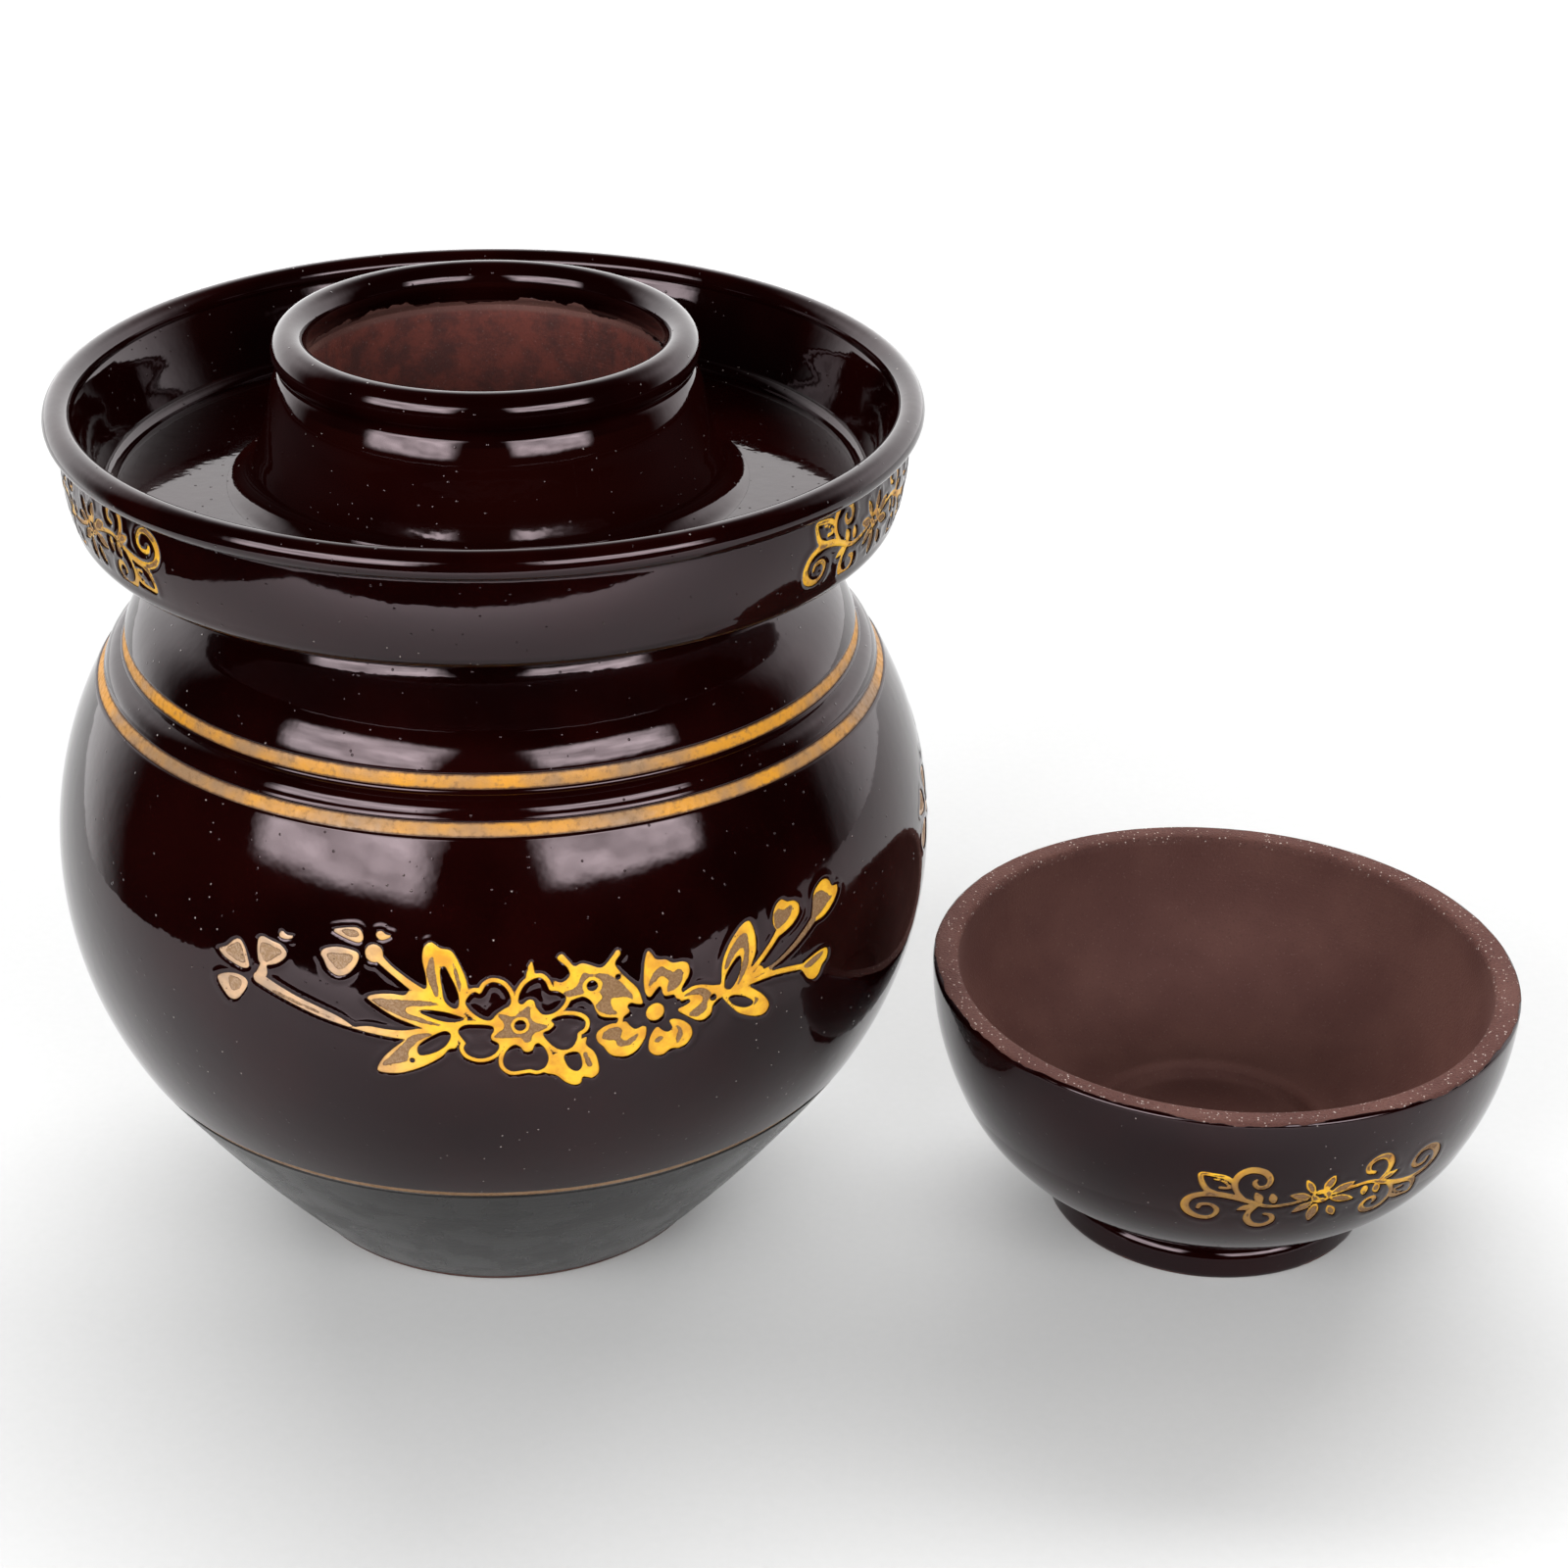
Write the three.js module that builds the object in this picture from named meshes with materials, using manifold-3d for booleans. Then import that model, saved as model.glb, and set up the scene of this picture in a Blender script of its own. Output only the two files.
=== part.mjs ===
// A water-sealed pickling crock with its bowl-shaped lid standing beside it.
// Millimetres, +Z up. The origin is the centre of the jar's flat base, and the lid stands on +X.
// Fired sections that touch keep a 0.3 mm joint, and every profile is a list of [radius, height].
import * as THREE from 'three';
import Module from 'manifold-3d';
import { mergeVertices } from 'three/addons/utils/BufferGeometryUtils.js';

const wasm = await Module();
wasm.setup();

// ---- driving dimensions ----
const SIDES = 40; // facets round every turned piece
const JOINT = 0.3; // gap between fired sections
const WALL = 6.5; // thickness of the jar's wall
const FLOOR = 8; // thickness of the jar's floor
const GROOVE_DEPTH = 1.5;
const INLAY_DEPTH = 1.2;
const INLAY_SIDE_GAP = 0.3;
const FOOT_BAND_WIDTH = 1.6;
const SHOULDER_BAND_WIDTH = 3.0;

const BASE_RADIUS = 52.4;
const BASE_CHAMFER = 1.0;
const FOOT_LINE = [91.2, 51.9];
const LOWER_BAND = [91.4, 145.1];
const UPPER_BAND = [85.6, 153.4];
const SHOULDER_HAUNCH = [79.0, 165.3]; // where the rounded shoulder runs out into a straight slope
const SHOULDER_NOOK = [72.0, 172.1]; // where the slope turns up under the moat
const SHOULDER_TOP_RADIUS = 69.6;
const DECK_HEIGHT = 181.5; // flat top of the shoulder that carries the neck and the moat
const CONE_BULGE = 1.1;
const BELLY_BULGE = 11.5;
const INNER_BELLY_BULGE = 10.4;
const BEAD_BULGE = 1.7;
const SHOULDER_BULGE = 1.5;

const THROAT_RADIUS = 41.8;
const NECK_FOOT_RADIUS = 59.7;
const LIP_CENTRE = [44.15, 220.6];
const LIP_HALF_WIDTH = 3.75;
const LIP_HALF_HEIGHT = 4.7;

const MOAT_FLOOR_HEIGHT = 189;
const MOAT_FLAT_RADIUS = 82; // the moat floor is flat from the neck out to here
const MOAT_UNDERSIDE_RADIUS = 87;
const MOAT_LIP_CENTRE = [96.0, 207.9];
const MOAT_LIP_RADIUS = 3.3;
const MOAT_WALL_FOOT = [94.4, 187.2];
const MOAT_WALL_TOP = [96.1, 204.4];
const MOAT_INNER_FOOT = [87.6, 194.6]; // where the moat's inside turns from floor to wall

const LID_X = 178.5; // where the lid stands
const LID_HEIGHT = 66;
const LID_RIM_OUTER = 71.7;
const LID_RIM_INNER = 65.2;
const LID_RIM_EDGE = 0.7; // how far the rim's outer edge is broken
const LID_WAIST = [65.4, 36]; // where the outer wall turns from the bowl to the side
const LID_INNER_WAIST = [57.9, 36];
const LID_UNDERSIDE = 10;
const LID_UNDERSIDE_RADIUS = 40.6;
const LID_FOOT_RADIUS = 39.0;
const LID_FOOT_INNER = 32.1;
const LID_FLOOR_TOP = 16.5;
const LID_FLOOR_RADIUS = 28.7;

const SLIP_GAP = 0.3; // slip ornaments stand this far off the glaze they lie on
const SLIP_THICKNESS = 0.6;

// ---- materials ----
const glaze = (color, roughness) => new THREE.MeshStandardMaterial({ color, roughness, metalness: 0 });
const DARK_GLAZE = 0x1d0b0b;
const SATIN_GLAZE = 0x241c1c;
const OCHRE = 0xc28a2c;
const TAN = 0x9a6f45;
const PALE_SLIP = 0xb79a86;

// ---- profile helpers ----
// Points on a circular arc from a to b that bulges to the right of the direction of travel.
function arc(a, b, bulge, steps) {
  const dx = b[0] - a[0];
  const dz = b[1] - a[1];
  const chord = Math.hypot(dx, dz);
  const half = 2 * Math.atan2(2 * bulge, chord);
  const radius = chord / (2 * Math.sin(half));
  const points = [];
  for (let i = 0; i <= steps; i += 1) {
    const angle = half * (2 * (i / steps) - 1);
    const along = 0.5 * chord + radius * Math.sin(angle);
    const out = radius * (Math.cos(angle) - Math.cos(half));
    points.push([a[0] + (along * dx + out * dz) / chord, a[1] + (along * dz - out * dx) / chord]);
  }
  return points;
}

// Points on an ellipse, from one angle to another in degrees, 0 pointing away from the axis.
function oval(centre, halfWidth, halfHeight, fromDegrees, toDegrees, steps) {
  const points = [];
  for (let i = 0; i <= steps; i += 1) {
    const angle = ((fromDegrees + ((toDegrees - fromDegrees) * i) / steps) * Math.PI) / 180;
    points.push([centre[0] + halfWidth * Math.cos(angle), centre[1] + halfHeight * Math.sin(angle)]);
  }
  return points;
}

// A place on the wall: along steps up the surface, out steps off it. The tilt is the surface's lean in
// degrees from vertical, positive where the wall opens outwards going up.
function onWall(centre, tilt, along, out) {
  const lean = (tilt * Math.PI) / 180;
  const up = [Math.sin(lean), Math.cos(lean)];
  return [centre[0] + along * up[0] + out * up[1], centre[1] + along * up[1] - out * up[0]];
}

const FOOT_TILT = 33;
const LOWER_TILT = -33;
const UPPER_TILT = -17;

// The edge of a section at a groove: side is +1 for the section above the groove, -1 for the one below.
// The points run from the outer surface to the inner surface.
function jointEdge(centre, tilt, width, side) {
  const rim = side * (width / 2 + INLAY_SIDE_GAP);
  const face = side * (JOINT / 2);
  return [
    onWall(centre, tilt, rim, 0),
    onWall(centre, tilt, rim, -GROOVE_DEPTH),
    onWall(centre, tilt, face, -GROOVE_DEPTH),
    onWall(centre, tilt, face, -WALL),
  ];
}

// ---- turned pieces ----
// A closed profile spun round Z. The profile runs anticlockwise, with radius to the right and height up.
function turned(name, profile, material) {
  const points = [...profile, profile[0]].map(([r, z]) => new THREE.Vector2(r, z));
  const mesh = new THREE.Mesh(new THREE.LatheGeometry(points, SIDES), material);
  mesh.name = name;
  mesh.rotation.x = Math.PI / 2;
  return mesh;
}

function baseSection() {
  const edge = jointEdge(FOOT_LINE, FOOT_TILT, FOOT_BAND_WIDTH, -1);
  const inner = arc(edge[3], [46, FLOOR + 2.5], -CONE_BULGE, 3);
  const cone = arc([BASE_RADIUS, BASE_CHAMFER], edge[0], CONE_BULGE, 4);
  const profile = [[0, 0], [BASE_RADIUS - BASE_CHAMFER, 0], ...cone, ...edge.slice(1, 3), ...inner];
  return turned('base_section', [...profile, [43, FLOOR], [0, FLOOR]], glaze(SATIN_GLAZE, 0.3));
}

function bellySection() {
  const foot = jointEdge(FOOT_LINE, FOOT_TILT, FOOT_BAND_WIDTH, 1);
  const top = jointEdge(LOWER_BAND, LOWER_TILT, SHOULDER_BAND_WIDTH, -1);
  const outer = arc(foot[0], top[0], BELLY_BULGE, 7);
  const inner = arc(top[3], foot[3], -INNER_BELLY_BULGE, 5);
  const profile = [...outer, top[1], top[2], ...inner, foot[2], foot[1]];
  return turned('belly_section', profile, glaze(DARK_GLAZE, 0.12));
}

function shoulderBead() {
  const low = jointEdge(LOWER_BAND, LOWER_TILT, SHOULDER_BAND_WIDTH, 1);
  const high = jointEdge(UPPER_BAND, UPPER_TILT, SHOULDER_BAND_WIDTH, -1);
  const outer = arc(low[0], high[0], BEAD_BULGE, 4);
  const profile = [...outer, high[1], high[2], high[3], low[3], low[2], low[1]];
  return turned('shoulder_bead', profile, glaze(DARK_GLAZE, 0.12));
}

function shoulderSection() {
  const low = jointEdge(UPPER_BAND, UPPER_TILT, SHOULDER_BAND_WIDTH, 1);
  const haunch = arc(low[0], SHOULDER_HAUNCH, SHOULDER_BULGE, 4);
  const nook = arc(SHOULDER_NOOK, [SHOULDER_TOP_RADIUS, 176.5], -0.5, 2);
  const deck = [[SHOULDER_TOP_RADIUS, DECK_HEIGHT], [THROAT_RADIUS, DECK_HEIGHT]];
  const inner = arc([60, 175.5], low[3], -0.8, 4);
  const profile = [...haunch, ...nook, ...deck, [THROAT_RADIUS, 176.5], ...inner, low[2], low[1]];
  return turned('shoulder_section', profile, glaze(DARK_GLAZE, 0.12));
}

function neckCollar() {
  const bottom = DECK_HEIGHT + JOINT;
  const fillet = arc([NECK_FOOT_RADIUS, MOAT_FLOOR_HEIGHT + 0.4], [52.6, 197], -2, 3);
  const lip = oval(LIP_CENTRE, LIP_HALF_WIDTH, LIP_HALF_HEIGHT, -52, 222, 8);
  const outer = [[NECK_FOOT_RADIUS, bottom], ...fillet, [50.4, 204], [48.6, 213.5], [46.6, 216]];
  const throat = [[THROAT_RADIUS, 215.5], [THROAT_RADIUS, bottom]];
  return turned('neck_collar', [...outer, ...lip.slice(1), ...throat], glaze(DARK_GLAZE, 0.12));
}

function moatFloorPan() {
  const bottom = DECK_HEIGHT + JOINT;
  const inside = NECK_FOOT_RADIUS + JOINT;
  const corner = arc([MOAT_UNDERSIDE_RADIUS, bottom], MOAT_WALL_FOOT, 1.5, 3);
  const fillet = arc(MOAT_INNER_FOOT, [MOAT_FLAT_RADIUS, MOAT_FLOOR_HEIGHT], 1.4, 3);
  const profile = [[inside, bottom], ...corner, ...fillet, [inside, MOAT_FLOOR_HEIGHT]];
  return turned('moat_floor_pan', profile, glaze(DARK_GLAZE, 0.12));
}

// The wall stands on the pan along a cone between the pan's two top corners.
function moatWall() {
  const foot = [MOAT_WALL_FOOT[0] + 0.1, MOAT_WALL_FOOT[1] + JOINT + 0.1];
  const inner = [MOAT_INNER_FOOT[0], MOAT_INNER_FOOT[1] + JOINT + 0.1];
  const outer = arc(foot, MOAT_WALL_TOP, 0.6, 3);
  const lip = oval(MOAT_LIP_CENTRE, MOAT_LIP_RADIUS, MOAT_LIP_RADIUS, -60, 195, 7);
  return turned('moat_wall', [...outer, ...lip, [91.1, 203], inner], glaze(DARK_GLAZE, 0.12));
}

// A ring of slip in a scraped groove, just below the glaze round it.
function slipBand(name, centre, tilt, width) {
  const profile = [
    onWall(centre, tilt, -width / 2, -INLAY_DEPTH),
    onWall(centre, tilt, -width / 2, -0.2),
    onWall(centre, tilt, width / 2, -0.2),
    onWall(centre, tilt, width / 2, -INLAY_DEPTH),
  ];
  return turned(name, profile, glaze(OCHRE, 0.6));
}

function lidOuterProfile() {
  const bowl = arc([LID_UNDERSIDE_RADIUS, LID_UNDERSIDE], LID_WAIST, 3.2, 4);
  const side = arc(LID_WAIST, [LID_RIM_OUTER, LID_HEIGHT - LID_RIM_EDGE], 1.5, 4);
  return [...bowl, ...side.slice(1)];
}

function lidBowl() {
  const rimEdge = [LID_RIM_OUTER - LID_RIM_EDGE, LID_HEIGHT];
  const innerSide = arc([LID_RIM_INNER, LID_HEIGHT], LID_INNER_WAIST, -1.5, 3);
  const innerBowl = arc(LID_INNER_WAIST, [LID_FLOOR_RADIUS, LID_FLOOR_TOP], -5, 4);
  const inner = [...innerSide, ...innerBowl.slice(1), [0, LID_FLOOR_TOP]];
  const profile = [[0, LID_UNDERSIDE], ...lidOuterProfile(), rimEdge, ...inner];
  return turned('lid_bowl', profile, glaze(DARK_GLAZE, 0.15));
}

function lidFootRing() {
  const top = LID_UNDERSIDE - JOINT;
  const waist = arc([LID_FOOT_RADIUS - 0.5, 5], [LID_UNDERSIDE_RADIUS - 0.6, top], -0.4, 2);
  const outer = [[LID_FOOT_RADIUS - 0.6, 0], [LID_FOOT_RADIUS, 0.8], ...waist];
  const profile = [[LID_FOOT_INNER, 0], ...outer, [LID_FOOT_INNER + 1, top]];
  return turned('lid_foot_ring', profile, glaze(DARK_GLAZE, 0.15));
}

// ---- slip ornaments ----
// They are cut flat, with u to the right and v up, joined, and then laid round a turned surface.
function solidOf(geometry) {
  const bare = geometry.clone();
  bare.deleteAttribute('normal');
  bare.deleteAttribute('uv');
  const merged = mergeVertices(bare, 1e-4);
  const mesh = new wasm.Mesh({
    numProp: 3,
    vertProperties: merged.attributes.position.array,
    triVerts: new Uint32Array(merged.index.array),
  });
  return new wasm.Manifold(mesh);
}

function plate(points) {
  const shape = new THREE.Shape(points.map(([u, v]) => new THREE.Vector2(u, v)));
  return solidOf(new THREE.ExtrudeGeometry(shape, { depth: SLIP_THICKNESS, bevelEnabled: false }));
}

function disc(u, v, radius, sides = 8, stretch = 1) {
  const points = [];
  for (let i = 0; i < sides; i += 1) {
    const angle = (2 * Math.PI * i) / sides;
    points.push([u + radius * stretch * Math.cos(angle), v + radius * Math.sin(angle)]);
  }
  return plate(points);
}

// A pointed leaf from its root to its tip, widest halfway.
function leaf(root, tip, width, steps = 4) {
  const du = tip[0] - root[0];
  const dv = tip[1] - root[1];
  const length = Math.hypot(du, dv);
  const side = (t) => (width / 2) * Math.max(Math.sin(Math.PI * t) ** 0.8, 0.1);
  const edge = (t, sign) => [
    root[0] + du * t - (sign * side(t) * dv) / length,
    root[1] + dv * t + (sign * side(t) * du) / length,
  ];
  const right = [];
  const left = [];
  for (let i = 0; i <= steps; i += 1) {
    right.push(edge(i / steps, -1));
    left.unshift(edge(i / steps, 1));
  }
  return plate([...right, ...left]);
}

// A stem or scroll of even width along a smooth line through the given points.
function stem(points, width, stepLength = 5.5) {
  const knots = points.map(([u, v]) => new THREE.Vector3(u, v, 0));
  const curve = new THREE.CatmullRomCurve3(knots, false, 'centripetal');
  const steps = Math.max(2, Math.round(curve.getLength() / stepLength));
  const right = [];
  const left = [];
  for (let i = 0; i <= steps; i += 1) {
    const p = curve.getPointAt(i / steps);
    const t = curve.getTangentAt(i / steps);
    right.push([p.x + (t.y * width) / 2, p.y - (t.x * width) / 2]);
    left.unshift([p.x - (t.y * width) / 2, p.y + (t.x * width) / 2]);
  }
  return plate([...right, ...left]);
}

const joined = (solids) => solids.reduce((sum, solid) => sum.add(solid));

// Splits edges until none is longer than the limit, so that a flat plate can bend round a wall.
function refined(mesh, limit) {
  const vertices = [];
  for (let i = 0; i < mesh.vertProperties.length; i += mesh.numProp) {
    vertices.push([mesh.vertProperties[i], mesh.vertProperties[i + 1], mesh.vertProperties[i + 2]]);
  }
  let triangles = [];
  for (let i = 0; i < mesh.triVerts.length; i += 3) {
    triangles.push(Array.from(mesh.triVerts.slice(i, i + 3)));
  }
  const span = (a, b) => Math.hypot(...vertices[a].map((value, k) => value - vertices[b][k]));
  const longestSide = ([a, b, c]) => Math.max(span(a, b), span(b, c), span(c, a));
  for (;;) {
    const longest = triangles.reduce((most, triangle) => Math.max(most, longestSide(triangle)), 0);
    if (longest <= limit) break;
    const threshold = Math.max(limit, longest * 0.7);
    const middles = new Map();
    const middle = (a, b) => {
      const key = a < b ? `${a}_${b}` : `${b}_${a}`;
      if (!middles.has(key)) {
        vertices.push(vertices[a].map((value, k) => (value + vertices[b][k]) / 2));
        middles.set(key, vertices.length - 1);
      }
      return middles.get(key);
    };
    const next = [];
    for (const t of triangles) {
      // Each long edge is split in turn, and the halves of the triangle are looked at again.
      const stack = [t];
      while (stack.length) {
        const [a, b, c] = stack.pop();
        const sizes = [span(a, b), span(b, c), span(c, a)];
        const most = Math.max(...sizes);
        if (most <= threshold) next.push([a, b, c]);
        else if (sizes[0] === most) stack.push([a, middle(a, b), c], [middle(a, b), b, c]);
        else if (sizes[1] === most) stack.push([a, b, middle(b, c)], [a, middle(b, c), c]);
        else stack.push([a, b, middle(c, a)], [middle(c, a), b, c]);
      }
    }
    triangles = next;
  }
  return { vertices, triangles };
}

// The point and the outward direction at a distance v up a profile.
function surfaceAt(profile, v) {
  let rest = v;
  let i = 0;
  const step = (k) => [profile[k + 1][0] - profile[k][0], profile[k + 1][1] - profile[k][1]];
  while (i < profile.length - 2 && rest > Math.hypot(...step(i))) {
    rest -= Math.hypot(...step(i));
    i += 1;
  }
  const up = step(i).map((value) => value / Math.hypot(...step(i)));
  return { r: profile[i][0] + rest * up[0], z: profile[i][1] + rest * up[1], out: [up[1], -up[0]] };
}

// Lays a flat solid round a profile. The seat says how: azimuth in degrees from -Y towards +X, radius that
// turns u into an angle, lift that is added to v, scale, and the longest edge that still clears the wall.
function ornament(name, solid, profile, seat, material) {
  const { vertices, triangles } = refined(solid.getMesh(), seat.longestEdge / seat.scale);
  const positions = new Float32Array(vertices.length * 3);
  vertices.forEach(([u, v, h], i) => {
    const place = surfaceAt(profile, seat.lift + v * seat.scale);
    const r = place.r + (SLIP_GAP + h) * place.out[0];
    const z = place.z + (SLIP_GAP + h) * place.out[1];
    const angle = (seat.azimuth * Math.PI) / 180 + (u * seat.scale) / seat.radius;
    positions.set([r * Math.sin(angle), -r * Math.cos(angle), z], i * 3);
  });
  const geometry = new THREE.BufferGeometry();
  geometry.setAttribute('position', new THREE.BufferAttribute(positions, 3));
  geometry.setIndex(triangles.flat());
  geometry.computeVertexNormals();
  const mesh = new THREE.Mesh(geometry, material);
  mesh.name = name;
  return mesh;
}

// The belly spray is drawn about the centre of its left blossom.
function rosette(u, v, reach, petalRadius, turn) {
  const petals = [disc(u, v, reach * 0.6)];
  for (let i = 0; i < 5; i += 1) {
    const angle = ((turn + 72 * i) * Math.PI) / 180;
    petals.push(disc(u + reach * Math.cos(angle), v + reach * Math.sin(angle), petalRadius));
  }
  return joined(petals);
}

function sprayMain() {
  const solid = joined([
    rosette(0, 0, 9.2, 5.2, 54),
    rosette(29.5, -0.5, 8.2, 5.0, 0),
    disc(15.5, 8, 5.5, 8, 1.2),
    leaf([-11, 1], [-33, 6.5], 5.5),
    leaf([-8, 5], [-19, 18.5], 5),
    leaf([-11, -2], [-31, -12.5], 5.5),
    stem([[-14, -1.5], [-35, -2], [-49, 1.5], [-58, 6], [-56.5, 12]], 2),
    disc(-58, 6, 2.4, 8),
    disc(-56, 12, 3.4, 7),
    stem([[-17, 5], [-27, 10], [-32, 16]], 2),
    disc(-32, 16, 2.2, 8),
    leaf([40, -0.5], [54.5, 15], 6),
    leaf([40, -0.5], [58, -9], 5),
    stem([[46, 0], [61, 8.5], [65, 12]], 1.6),
    disc(65, 12.5, 3.6, 7),
    stem([[50, 0], [67, 5], [76, 12]], 1.6),
    disc(77, 12.5, 3.9, 7),
    stem([[40, -0.5], [66, -0.5], [72, -2.5]], 1.6),
    disc(72, -2.5, 3.3, 8),
  ]);
  const windows = [];
  for (let i = 0; i < 5; i += 1) {
    const angle = ((54 + 72 * i) * Math.PI) / 180;
    windows.push(disc(9 * Math.cos(angle), 9 * Math.sin(angle), 3.2, 6));
  }
  return windows.reduce((rest, window) => rest.subtract(window), solid);
}

const PALE_PETALS = [
  [-66, 10.5, 3.6, 1],
  [-66, 1.5, 3.6, 1],
  [-40, 14, 3, 1.35],
  [-38, 20, 1.6, 1.9],
];

function bellySpray(side, azimuth) {
  const foot = jointEdge(FOOT_LINE, FOOT_TILT, FOOT_BAND_WIDTH, 1);
  const top = jointEdge(LOWER_BAND, LOWER_TILT, SHOULDER_BAND_WIDTH, -1);
  const wall = arc(foot[0], top[0], BELLY_BULGE, 36);
  const seat = { azimuth, radius: 103.7, lift: 53.6, scale: 1, longestEdge: 11 };
  const meshes = [ornament(`spray_${side}_main`, sprayMain(), wall, seat, glaze(OCHRE, 0.5))];
  PALE_PETALS.forEach(([u, v, radius, stretch], i) => {
    const petal = disc(u, v, radius, 8, stretch);
    meshes.push(ornament(`spray_${side}_petal_${i + 1}`, petal, wall, seat, glaze(PALE_SLIP, 0.6)));
  });
  return meshes;
}

// The scroll frieze is drawn about its flower and looks the same turned upside down.
const LONG_SCROLL = [
  [-5, -1],
  [-13, -2],
  [-19, -1],
  [-24, 1.5],
  [-31, 3],
  [-35.2, -2],
  [-34, -7],
  [-30, -8.3],
  [-27, -5.5],
];
const SCROLL_LINES = [
  { width: 2, points: LONG_SCROLL },
  { width: 1.8, points: [[-16, -2], [-18.5, -6], [-17, -9.7], [-13, -10.3], [-11.5, -7.5]] },
  { width: 1.8, points: [[-19, -1], [-22.5, 3], [-22.5, 8], [-19, 11], [-15.5, 9.5], [-15, 6]] },
  { width: 1.8, points: [[-23.5, 4], [-27, 8.3], [-32, 8.4], [-31, 3]] },
];
const SCROLL_LEAFLET = { root: [-14, -2], tip: [-15, 4.2], width: 3 };
const FLOWER_PETALS = 8;
const FLOWER_TURN = 0.35; // petals, from the frieze's own line
const FLOWER_REACH = 8;
const FLOWER_PETAL_WIDTH = 3.4;

function scrollHalf(sign) {
  const place = ([u, v]) => [sign * u, sign * v];
  const lines = SCROLL_LINES.map(({ width, points }) => stem(points.map(place), width));
  const { root, tip, width } = SCROLL_LEAFLET;
  return [...lines, leaf(place(root), place(tip), width, 2)];
}

function scrollFrieze() {
  const petals = [disc(0, 0, 2.4, 8)];
  for (let i = 0; i < FLOWER_PETALS; i += 1) {
    const angle = (2 * Math.PI * (i + FLOWER_TURN)) / FLOWER_PETALS;
    const out = [Math.cos(angle), Math.sin(angle)];
    petals.push(leaf(out, [FLOWER_REACH * out[0], FLOWER_REACH * out[1]], FLOWER_PETAL_WIDTH, 2));
  }
  return joined([...petals, ...scrollHalf(1), ...scrollHalf(-1)]);
}

const MOAT_FRIEZES = [
  ['moat_frieze_left', -55.5],
  ['moat_frieze_right', 68],
  ['moat_frieze_back', 187],
];

function moatFriezes() {
  const wall = arc([MOAT_WALL_FOOT[0] + 0.1, MOAT_WALL_FOOT[1] + 0.4], MOAT_WALL_TOP, 0.6, 12);
  return MOAT_FRIEZES.map(([name, azimuth]) => {
    const seat = { azimuth, radius: 96.6, lift: 8.6, scale: 0.72, longestEdge: 11 };
    return ornament(name, scrollFrieze(), wall, seat, glaze(OCHRE, 0.5));
  });
}

const LID_FRIEZES = [
  ['lid_frieze_front', 16],
  ['lid_frieze_back', 196],
];

function lidFriezes() {
  return LID_FRIEZES.map(([name, azimuth]) => {
    const seat = { azimuth, radius: 69.4, lift: 45.5, scale: 0.93, longestEdge: 8 };
    return ornament(name, scrollFrieze(), lidOuterProfile(), seat, glaze(TAN, 0.5));
  });
}

// ---- the assembly ----
const jar = new THREE.Group();
jar.add(baseSection(), bellySection(), shoulderBead(), shoulderSection());
jar.add(neckCollar(), moatFloorPan(), moatWall());
jar.add(slipBand('foot_band', FOOT_LINE, FOOT_TILT, FOOT_BAND_WIDTH));
jar.add(slipBand('shoulder_band_lower', LOWER_BAND, LOWER_TILT, SHOULDER_BAND_WIDTH));
jar.add(slipBand('shoulder_band_upper', UPPER_BAND, UPPER_TILT, SHOULDER_BAND_WIDTH));
jar.add(...bellySpray('front', 9.6), ...bellySpray('back', 119.6), ...moatFriezes());

const lid = new THREE.Group();
lid.position.x = LID_X;
lid.add(lidBowl(), lidFootRing(), ...lidFriezes());

const crock = new THREE.Group();
crock.add(jar, lid);

export default crock;
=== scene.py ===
"""A water-sealed pickling crock with its bowl-shaped lid beside it.

Dark glazed stoneware with slip ornaments. Profiles and ornaments are drawn in millimetres, in the
CAD model's frame, and become metres when a mesh is made of them.
"""
import math

import bpy
import numpy as np
from mathutils import Matrix, Vector

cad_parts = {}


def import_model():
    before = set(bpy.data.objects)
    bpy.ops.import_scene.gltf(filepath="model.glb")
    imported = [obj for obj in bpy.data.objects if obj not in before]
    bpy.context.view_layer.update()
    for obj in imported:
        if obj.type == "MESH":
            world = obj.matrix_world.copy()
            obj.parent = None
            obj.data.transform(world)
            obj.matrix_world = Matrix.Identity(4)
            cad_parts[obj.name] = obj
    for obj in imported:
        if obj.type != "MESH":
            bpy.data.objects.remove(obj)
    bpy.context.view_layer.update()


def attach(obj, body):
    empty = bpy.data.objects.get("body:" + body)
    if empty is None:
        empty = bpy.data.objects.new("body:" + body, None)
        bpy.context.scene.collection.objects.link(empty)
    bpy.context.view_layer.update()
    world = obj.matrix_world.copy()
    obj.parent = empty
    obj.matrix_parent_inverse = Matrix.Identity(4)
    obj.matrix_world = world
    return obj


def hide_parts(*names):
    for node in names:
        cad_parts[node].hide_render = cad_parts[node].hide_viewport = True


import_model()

MM = 0.001
FLOOR_LEVEL = -0.0002  # metres: the studio floor lies just under the feet

# ---- sizes of the CAD model in millimetres; a place on a profile is (radius, height) ----
WALL = 6.5
FLOOR = 8.0
JOINT = 0.3
GROOVE_DEPTH = 1.5
FOOT_BAND_WIDTH = 2.0
SHOULDER_BAND_WIDTH = 3.0
FOOT_LINE = (91.2, 51.9)
LOWER_BAND = (91.4, 145.1)
UPPER_BAND = (85.6, 153.4)
FOOT_TILT = 33  # degrees that the wall leans outwards
LOWER_TILT = -33
UPPER_TILT = -17
HAUNCH_TOP = (78.8, 164.4)
DECK_HEIGHT = 181.5
THROAT_RADIUS = 41.8
NECK_FOOT = (53.6, 194.4)
NECK_FOOT_RADIUS = 59.7
MOAT_FLOOR_HEIGHT = 189.0
MOAT_INNER_FOOT = (86.9, 191.7)
MOAT_WALL_TOP = (96.1, 204.4)
LID_X = 178.5
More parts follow.
